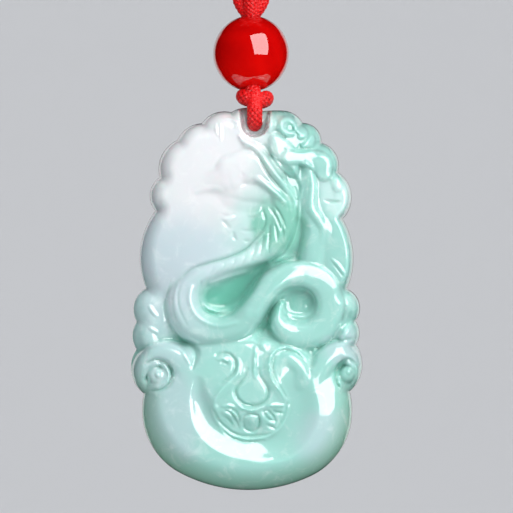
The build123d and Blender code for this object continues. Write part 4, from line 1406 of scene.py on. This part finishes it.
@dataclass(frozen=True)
class Braid:
    """A round braid: as many plaits to the left as to the right, each over one and under one."""

    radius: float = 1.05 * MM
    pitch: float = 4.4 * MM
    plaits: int = 8               # each way
    wide: float = 0.25 * MM       # half sizes of a plait's section
    thick: float = 0.16 * MM
    lift: float = 0.10 * MM       # how far it rides up and down at the crossings
    sides: int = 6
    steps: int = 48               # for each pitch
    fewest: int = 12              # steps of the shortest strand
    shade_middle: float = 0.42    # painted light and shade: how light a plait is, how much lighter on its crown and where it rides over another
    shade_crown: float = 0.34     # rides over another
    shade_over: float = 0.24

    def along(self, line: np.ndarray, closed: bool = False) -> tuple[np.ndarray, list, list, list]:
        """Lay the plaits round a line.

        Args:
            line: the cord's centreline.
            closed: whether it is a ring.

        Returns:
            Vertices, faces, a UV pair for each face corner, and each vertex's painted light and shade.
        """
        length = float(np.linalg.norm(np.diff(line, axis=0), axis=1).sum())
        turns = max(1, round(length / self.pitch)) if closed else length / self.pitch
        count = max(self.fewest, int(turns * self.steps))
        centre = evenly(line, count + 1)
        tangents = np.gradient(centre, axis=0)
        if closed:
            tangents[0] = tangents[-1] = centre[1] - centre[-2]
        tangents /= np.linalg.norm(tangents, axis=1)[:, None]
        normals = self._normals(tangents, closed)
        binormals = np.cross(tangents, normals)
        angle = 2 * math.pi * turns * np.linspace(0, 1, count + 1)
        vertices, faces, uvs, plait_lights = [], [], [], []
        for way in (1, -1):
            for plait in range(self.plaits):
                theta = way * angle + 2 * math.pi * plait / self.plaits
                rise = way * np.cos(self.plaits * theta)
                ring = self.radius - self.thick - self.lift + self.lift * rise
                out = np.cos(theta)[:, None] * normals + np.sin(theta)[:, None] * binormals
                spine = centre + ring[:, None] * out
                run = np.gradient(spine, axis=0)
                run /= np.linalg.norm(run, axis=1)[:, None]
                flank = np.cross(run, out)
                flank /= np.linalg.norm(flank, axis=1)[:, None]
                crown = np.cross(flank, run)
                first = len(vertices)
                around = np.linspace(0, 2 * math.pi, self.sides, endpoint=False)
                for k in range(count + 1):
                    for a in around:
                        vertices.append(spine[k] + self.wide * math.cos(a) * flank[k]
                                        + self.thick * math.sin(a) * crown[k])
                        plait_lights.append(self.shade_middle + self.shade_crown * math.sin(a)
                                      + self.shade_over * rise[k])
                for k in range(count):
                    for n in range(self.sides):
                        m = (n + 1) % self.sides
                        a = first + k * self.sides
                        b = a + self.sides
                        faces.append((a + n, b + n, b + m, a + m))
                        u0, u1 = n / self.sides, (n + 1) / self.sides
                        v0, v1 = k / self.steps, (k + 1) / self.steps
                        uvs += [(u0, v0), (u0, v1), (u1, v1), (u1, v0)]
                for start, order in ((first, 1), (first + count * self.sides, -1)):
                    faces.append(tuple(range(start, start + self.sides))[::order])
                    uvs += [(0.0, 0.0)] * self.sides
        return np.array(vertices), faces, uvs, plait_lights

    @staticmethod
    def _normals(tangents: np.ndarray, closed: bool) -> np.ndarray:
        """Carry normals along the line without twist, or with a ring's twist spread evenly.

        Args:
            tangents: the line's directions.
            closed: whether it is a ring.

        Returns:
            One normal for each direction.
        """
        seed = np.array([0.0, 1.0, 0.0]) if abs(tangents[0][1]) < 0.8 else np.array([1.0, 0.0, 0.0])
        normal = seed - tangents[0] * (seed @ tangents[0])
        normals = [normal / np.linalg.norm(normal)]
        for tangent in tangents[1:]:
            normal = normals[-1] - tangent * (normals[-1] @ tangent)
            normals.append(normal / np.linalg.norm(normal))
        normals = np.array(normals)
        if closed:
            side = np.cross(tangents[0], normals[0])
            twist = math.atan2(normals[-1] @ side, normals[-1] @ normals[0])
            back = -twist * np.linspace(0, 1, len(normals))[:, None]
            sides = np.cross(tangents, normals)
            normals = np.cos(back) * normals + np.sin(back) * sides
        return normals


def cord_object(name: str, braid: Braid, lines: list, material: bpy.types.Material) -> bpy.types.Object:
    """Make one piece of braided cord from one or more centrelines.

    Args:
        name: the piece's name.
        braid: how the cord is braided.
        lines: pairs of a centreline and whether it is closed.
        material: the yarn.

    Returns:
        The piece.
    """
    vertices, faces, uvs, plait_lights = [], [], [], []
    for line, closed in lines:
        points, rows, pairs, plait_shading = braid.along(line, closed)
        faces += [tuple(n + len(vertices) for n in row) for row in rows]
        vertices += list(points)
        uvs += pairs
        plait_lights += plait_shading
    piece = new_object(name, np.array(vertices), faces, material)
    layer = piece.data.uv_layers.new(name="plait")
    layer.data.foreach_set("uv", np.array(uvs).ravel())
    # each vertex's painted light and shade, for the yarn's colour
    attribute = piece.data.attributes.new("crown", "FLOAT", "POINT")
    attribute.data.foreach_set("value", np.array(plait_lights))
    return piece


@dataclass
class HangingLoop:
    """The free eye of cord above the upper knot; its route repeats the solid's corners."""

    diameter: float = 2.1 * MM
    strand_gap: float = 0.05 * MM
    line_steps: int = 24          # for each corner
    route: tuple = (              # millimetres across and up
        (1.60, -18.80), (3.40, -15.70), (5.75, -12.30), (7.80, -8.70), (7.85, -4.70), (5.80, -1.10),
        (2.15, 1.10), (-2.05, 1.00), (-5.70, -1.00), (-7.80, -4.60), (-7.85, -8.70), (-5.85, -12.30),
        (-3.30, -15.60), (-1.60, -18.80))

    def build(self, yarn: bpy.types.Material, foot_z: float) -> bpy.types.Object:
        """Args:
            yarn: the cord's finish.
            foot_z: where its two ends enter the upper knot.

        Returns:
            The piece.
        """
        spread = self.diameter / 2 + self.strand_gap
        ends = ((spread, foot_z), (-spread, foot_z))
        corners = [ends[0], *[(x * MM, z * MM) for x, z in self.route], ends[1]]
        curve = bpy.data.curves.new("loop_route", "CURVE")
        curve.dimensions = "3D"
        spline = curve.splines.new("NURBS")
        spline.points.add(len(corners) - 1)
        for point, (x, z) in zip(spline.points, corners):
            point.co = (x, 0.0, z, 1.0)
        spline.order_u = 3
        spline.use_endpoint_u = True
        spline.resolution_u = self.line_steps
        guide = bpy.data.objects.new("loop_route", curve)
        bpy.context.scene.collection.objects.link(guide)
        bpy.context.view_layer.update()
        mesh = bpy.data.meshes.new_from_object(guide)
        line = np.array([vertex.co for vertex in mesh.vertices])
        bpy.data.objects.remove(guide)
        piece = cord_object("hanging_loop_braided", Braid(), [(line, False)], yarn)
        settle(piece, Body.HANGER, Slot.CORD, "hanging_loop")
        return piece


@dataclass
class JadeLoop:
    """The strand through the hole of the jade, front and back, up into the lower knot."""

    bend_radius: float = 1.6 * MM
    bend_inset: float = 0.35 * MM
    bend_points: int = 14
    lean: float = math.radians(14)
    into_knot: float = 1.1 * MM

    def line(self, plaque: JadePlaque, knot_foot: float) -> np.ndarray:
        """Centreline from the knot down before the jade, through the hole and up behind it.

        Args:
            plaque: the plaque that it carries.
            knot_foot: height of the lower knot's foot.

        Returns:
            The centreline.
        """
        front = -(plaque.slot_floor - self.bend_inset)
        back = plaque.back - self.bend_inset
        sweep = np.linspace(0, math.pi / 2 + self.lean, self.bend_points)
        centre = plaque.hole_z + self.bend_radius
        near = np.column_stack([front - self.bend_radius * np.sin(sweep[::-1]),
                                centre - self.bend_radius * np.cos(sweep[::-1])])
        far = np.column_stack([back + self.bend_radius * np.sin(sweep),
                               centre - self.bend_radius * np.cos(sweep)])
        top = knot_foot + self.into_knot
        tops = []
        for (y, z), way in ((near[0], 1), (far[-1], -1)):
            tops.append((y + way * math.tan(self.lean) * (top - z), top))
        route = np.vstack([tops[:1], near, far, tops[1:]])
        return np.column_stack([np.full(len(route), plaque.hole_x), route])

    def build(self, yarn: bpy.types.Material, plaque: JadePlaque, knot_foot: float) -> bpy.types.Object:
        """Braid the strand between the plaque and the lower knot's foot."""
        piece = cord_object("jade_loop_braided", Braid(), [(self.line(plaque, knot_foot), False)], yarn)
        return settle(piece, Body.HANGER, Slot.CORD, "jade_loop")


@dataclass
class Knot:
    """A knot of four strands, tied where its solid stands."""

    node: str
    strands: tuple
    above_solid: bool = True      # whether its foot is under the solid's middle or on the hanging line
    curve_steps: int = 8

    def build(self, yarn: bpy.types.Material) -> bpy.types.Object:
        """Tie the knot.

        Args:
            yarn: the cord's finish.

        Returns:
            The piece.
        """
        low, high = (np.array(corner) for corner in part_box(self.node))
        foot = np.array([(low[0] + high[0]) / 2 if self.above_solid else 0.0, 0.0, low[2]])
        lines = [(foot + smooth_path(rows, self.curve_steps) * MM, False) for rows in self.strands]
        piece = cord_object(self.node + "_braided", Braid(), lines, yarn)
        return settle(piece, Body.HANGER, Slot.CORD, self.node)


@dataclass
class LowerKnot(Knot):
    """The knot between the bead and the jade: two side lobes, a collar and the strand before them."""

    node: str = "lower_knot"
    strands: tuple = (
        (Bight(0.0, -3.05, -0.9), Bight(0.0, -2.75, 0.3), Bight(-0.15, -2.25, 1.3), Bight(-0.3, -1.3, 2.1),
         Bight(-0.5, 0.0, 2.5)),
        (Bight(0.0, 3.05, -0.9), Bight(0.0, 2.75, 0.3), Bight(-0.15, 2.25, 1.3), Bight(-0.3, 1.3, 2.1),
         Bight(-0.5, 0.2, 2.4)),
        (Bight(-0.3, -2.6, 0.5), Bight(-1.25, -1.9, 0.85), Bight(-1.5, 0.0, 1.0), Bight(-1.25, 1.9, 0.85),
         Bight(-0.3, 2.6, 0.5)),
        (Bight(0.3, -2.6, 0.3), Bight(1.25, -1.9, 0.55), Bight(1.5, 0.0, 0.75), Bight(1.25, 1.9, 0.55),
         Bight(0.3, 2.6, 0.3)),
    )


@dataclass
class UpperKnot(Knot):
    """The knot on the bead: a middle strand between two side lobes that taper into the bore."""

    node: str = "upper_knot"
    strands: tuple = (
        (Bight(0.45, -0.9, 4.2), Bight(0.1, -1.15, 3.2), Bight(0.0, -1.1, 2.0), Bight(0.0, -0.6, 0.8),
         Bight(0.0, 0.0, -0.4)),
        (Bight(-0.45, 0.9, 4.2), Bight(-0.1, 1.15, 3.2), Bight(0.0, 1.1, 2.0), Bight(0.0, 0.6, 0.8),
         Bight(0.0, 0.0, -0.4)),
        (Bight(-0.9, 0.0, 4.1), Bight(-1.45, -0.1, 3.1), Bight(-1.4, 0.0, 2.1), Bight(-0.8, 0.1, 1.0),
         Bight(-0.1, 0.0, 0.2)),
        (Bight(0.9, 0.0, 4.1), Bight(1.45, 0.1, 3.1), Bight(1.4, 0.0, 2.1), Bight(0.8, -0.1, 1.0),
         Bight(0.1, 0.0, 0.2)),
    )
    above_solid: bool = False


@dataclass
class AgateBead:
    """The round drilled bead, with its bore's mouths eased."""

    radius: float = 5.0 * MM
    bore: float = 1.15 * MM
    ease: float = 0.15 * MM
    ease_down: float = 1.5        # times the easing, from the mouth down to the bore's wall
    ease_in: float = 0.3          # times the easing, from that wall out to the lip
    sides: int = 96
    rows: int = 72
    sharp: float = math.radians(40)   # an edge over this angle is shaded as an edge

    def build(self, finish: PolishedAgate) -> bpy.types.Object:
        """Turn the bead and drill it.

        Args:
            finish: the stone.

        Returns:
            The piece.
        """
        low, high = (Vector(corner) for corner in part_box("agate_bead"))
        centre = (low + high) / 2
        mouth = math.asin((self.bore + self.ease) / self.radius)
        angles = np.linspace(mouth, math.pi - mouth, self.rows)
        profile = [(self.radius * math.sin(a), self.radius * math.cos(a)) for a in angles]
        inner = profile[0][1] - self.ease_down * self.ease
        lip = self.bore + self.ease_in * self.ease
        profile = [(self.bore, inner), (lip, inner + self.ease), *profile, (lip, -inner - self.ease),
                   (self.bore, -inner)]
        vertices, faces = turned(profile, self.sides, closed=True)
        vertices = vertices + np.array(centre)
        bead = new_object("agate_bead_polished", vertices, faces, finish.make(centre, self.radius))
        bead.data.set_sharp_from_angle(angle=self.sharp)
        return settle(bead, Body.HANGER, Slot.AGATE, "agate_bead")


@dataclass
class Studio:
    """Camera, soft boxes and a round cove whose pale floor curves up into its wall."""

    field: float = 67.95 * MM     # what the photograph's side spans
    distance: float = 0.45
    sensor: float = 36.0          # millimetres
    aim_x: float = 0.73 * MM
    bead_below_top: float = 7.09 * MM     # from the view's top edge to the bead's middle
    floor_z: float = -0.42
    disc_radius: float = 0.16     # the floor's middle is one flat disc
    cove_radius: float = 1.6
    cove_curve: float = 0.8
    wall_top: float = 1.6
    cove_sides: int = 96
    curve_rows: int = 16
    air: str = "#E4E6EA"
    air_strength: float = 0.6
    boxes: tuple = (
        SoftBox("window", 31.0, 28.0, 0.55, 0.48, 0.67, 5.3),
        SoftBox("left kicker", -157.0, 5.0, 0.50, 0.26, 0.40, 0.6),
        SoftBox("right kicker", 157.0, 5.0, 0.50, 0.26, 0.40, 0.6),
        SoftBox("wall wash", 0.0, 35.0, 1.1, 1.0, 0.4, 3.0, behind=1.5),
        SoftBox("left fill", -58.0, -5.0, 0.60, 0.50, 0.60, 1.1, glossy=False),
    )

    def build(self, bead_z: float) -> None:
        """Set the camera before the pendant, and light it.

        Args:
            bead_z: height of the bead's middle, from which the view is placed.
        """
        aim = Vector((self.aim_x, 0.0, bead_z + self.bead_below_top - self.field / 2))
        camera = bpy.data.cameras.new("camera")
        camera.sensor_width = self.sensor
        camera.lens = self.sensor * self.distance / self.field
        camera.clip_start = 0.01
        eye = bpy.data.objects.new("camera", camera)
        eye.location = aim + Vector((0.0, -self.distance, 0.0))
        eye.rotation_euler = (math.pi / 2, 0.0, 0.0)
        bpy.context.scene.collection.objects.link(eye)
        bpy.context.scene.camera = eye
        bpy.context.scene.view_settings.view_transform = "Standard"
        self._cove()
        for box in self.boxes:
            self._hang(box, aim)
        world = bpy.data.worlds.new("studio")
        world.use_nodes = True
        world.node_tree.nodes.clear()
        sky = add_node(world.node_tree, "ShaderNodeBackground", None,
                       {"Color": linear(self.air), "Strength": self.air_strength})
        add_node(world.node_tree, "ShaderNodeOutputWorld", None, {"Surface": sky.outputs[0]})
        world.cycles_visibility.glossy = False
        bpy.context.scene.world = world

    def _cove(self) -> None:
        """Turn the cove round the pendant's axis: floor, curve and wall."""
        inner = self.cove_radius - self.cove_curve
        bend = [(inner + self.cove_curve * math.sin(a), self.floor_z + self.cove_curve * (1 - math.cos(a)))
                for a in np.linspace(0, math.pi / 2, self.curve_rows)]
        profile = [(self.disc_radius, self.floor_z), *bend, (self.cove_radius, self.wall_top)]
        vertices, faces = turned(profile, self.cove_sides)
        faces.append(tuple(range(self.cove_sides)))
        floor = new_object("floor", vertices, faces, PaleFloor().make())
        floor.visible_glossy = False

    @staticmethod
    def _hang(box: SoftBox, aim: Vector) -> None:
        """Hang a soft box, turned to what it lights.

        Args:
            box: the lamp.
            aim: the middle of the view.
        """
        right, up = math.radians(box.right), math.radians(box.up)
        way = Vector((math.sin(right) * math.cos(up), -math.cos(right) * math.cos(up), math.sin(up)))
        lamp = bpy.data.lights.new(box.name, "AREA")
        lamp.shape = "RECTANGLE"
        lamp.size = box.wide
        lamp.size_y = box.high
        lamp.energy = box.radiance * math.pi * box.wide * box.high
        holder = bpy.data.objects.new(box.name, lamp)
        holder.location = aim + Vector((0.0, box.behind, 0.0)) + way * box.away
        holder.rotation_euler = way.to_track_quat("Z", "Y").to_euler()
        holder.visible_camera = False
        holder.visible_glossy = box.glossy
        bpy.context.scene.collection.objects.link(holder)


def main() -> None:
    """Dress the frame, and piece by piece."""
    logging.basicConfig(level=logging.INFO, format="%(name)s: %(message)s")
    low, high = (Vector(corner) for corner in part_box("agate_bead"))
    Studio().build((low.z + high.z) / 2)
    yarn = BraidedNylon().make()
    knot_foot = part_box("lower_knot")[0][2]
    plaque = JadePlaque()
    made = [
        HangingLoop().build(yarn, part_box("hanging_loop")[0][2]),
        JadeLoop().build(yarn, plaque, knot_foot),
        LowerKnot().build(yarn),
        UpperKnot().build(yarn),
        AgateBead().build(PolishedAgate()),
        plaque.build(PolishedJadeite()),
    ]
    core = frame["nodes"]["bead_core"]
    core.data.materials.clear()
    core.data.materials.append(yarn)
    for piece in made:
        LOG.info("%s: %d faces", piece.name, len(piece.data.polygons))


if __name__ == "__main__":
    main()
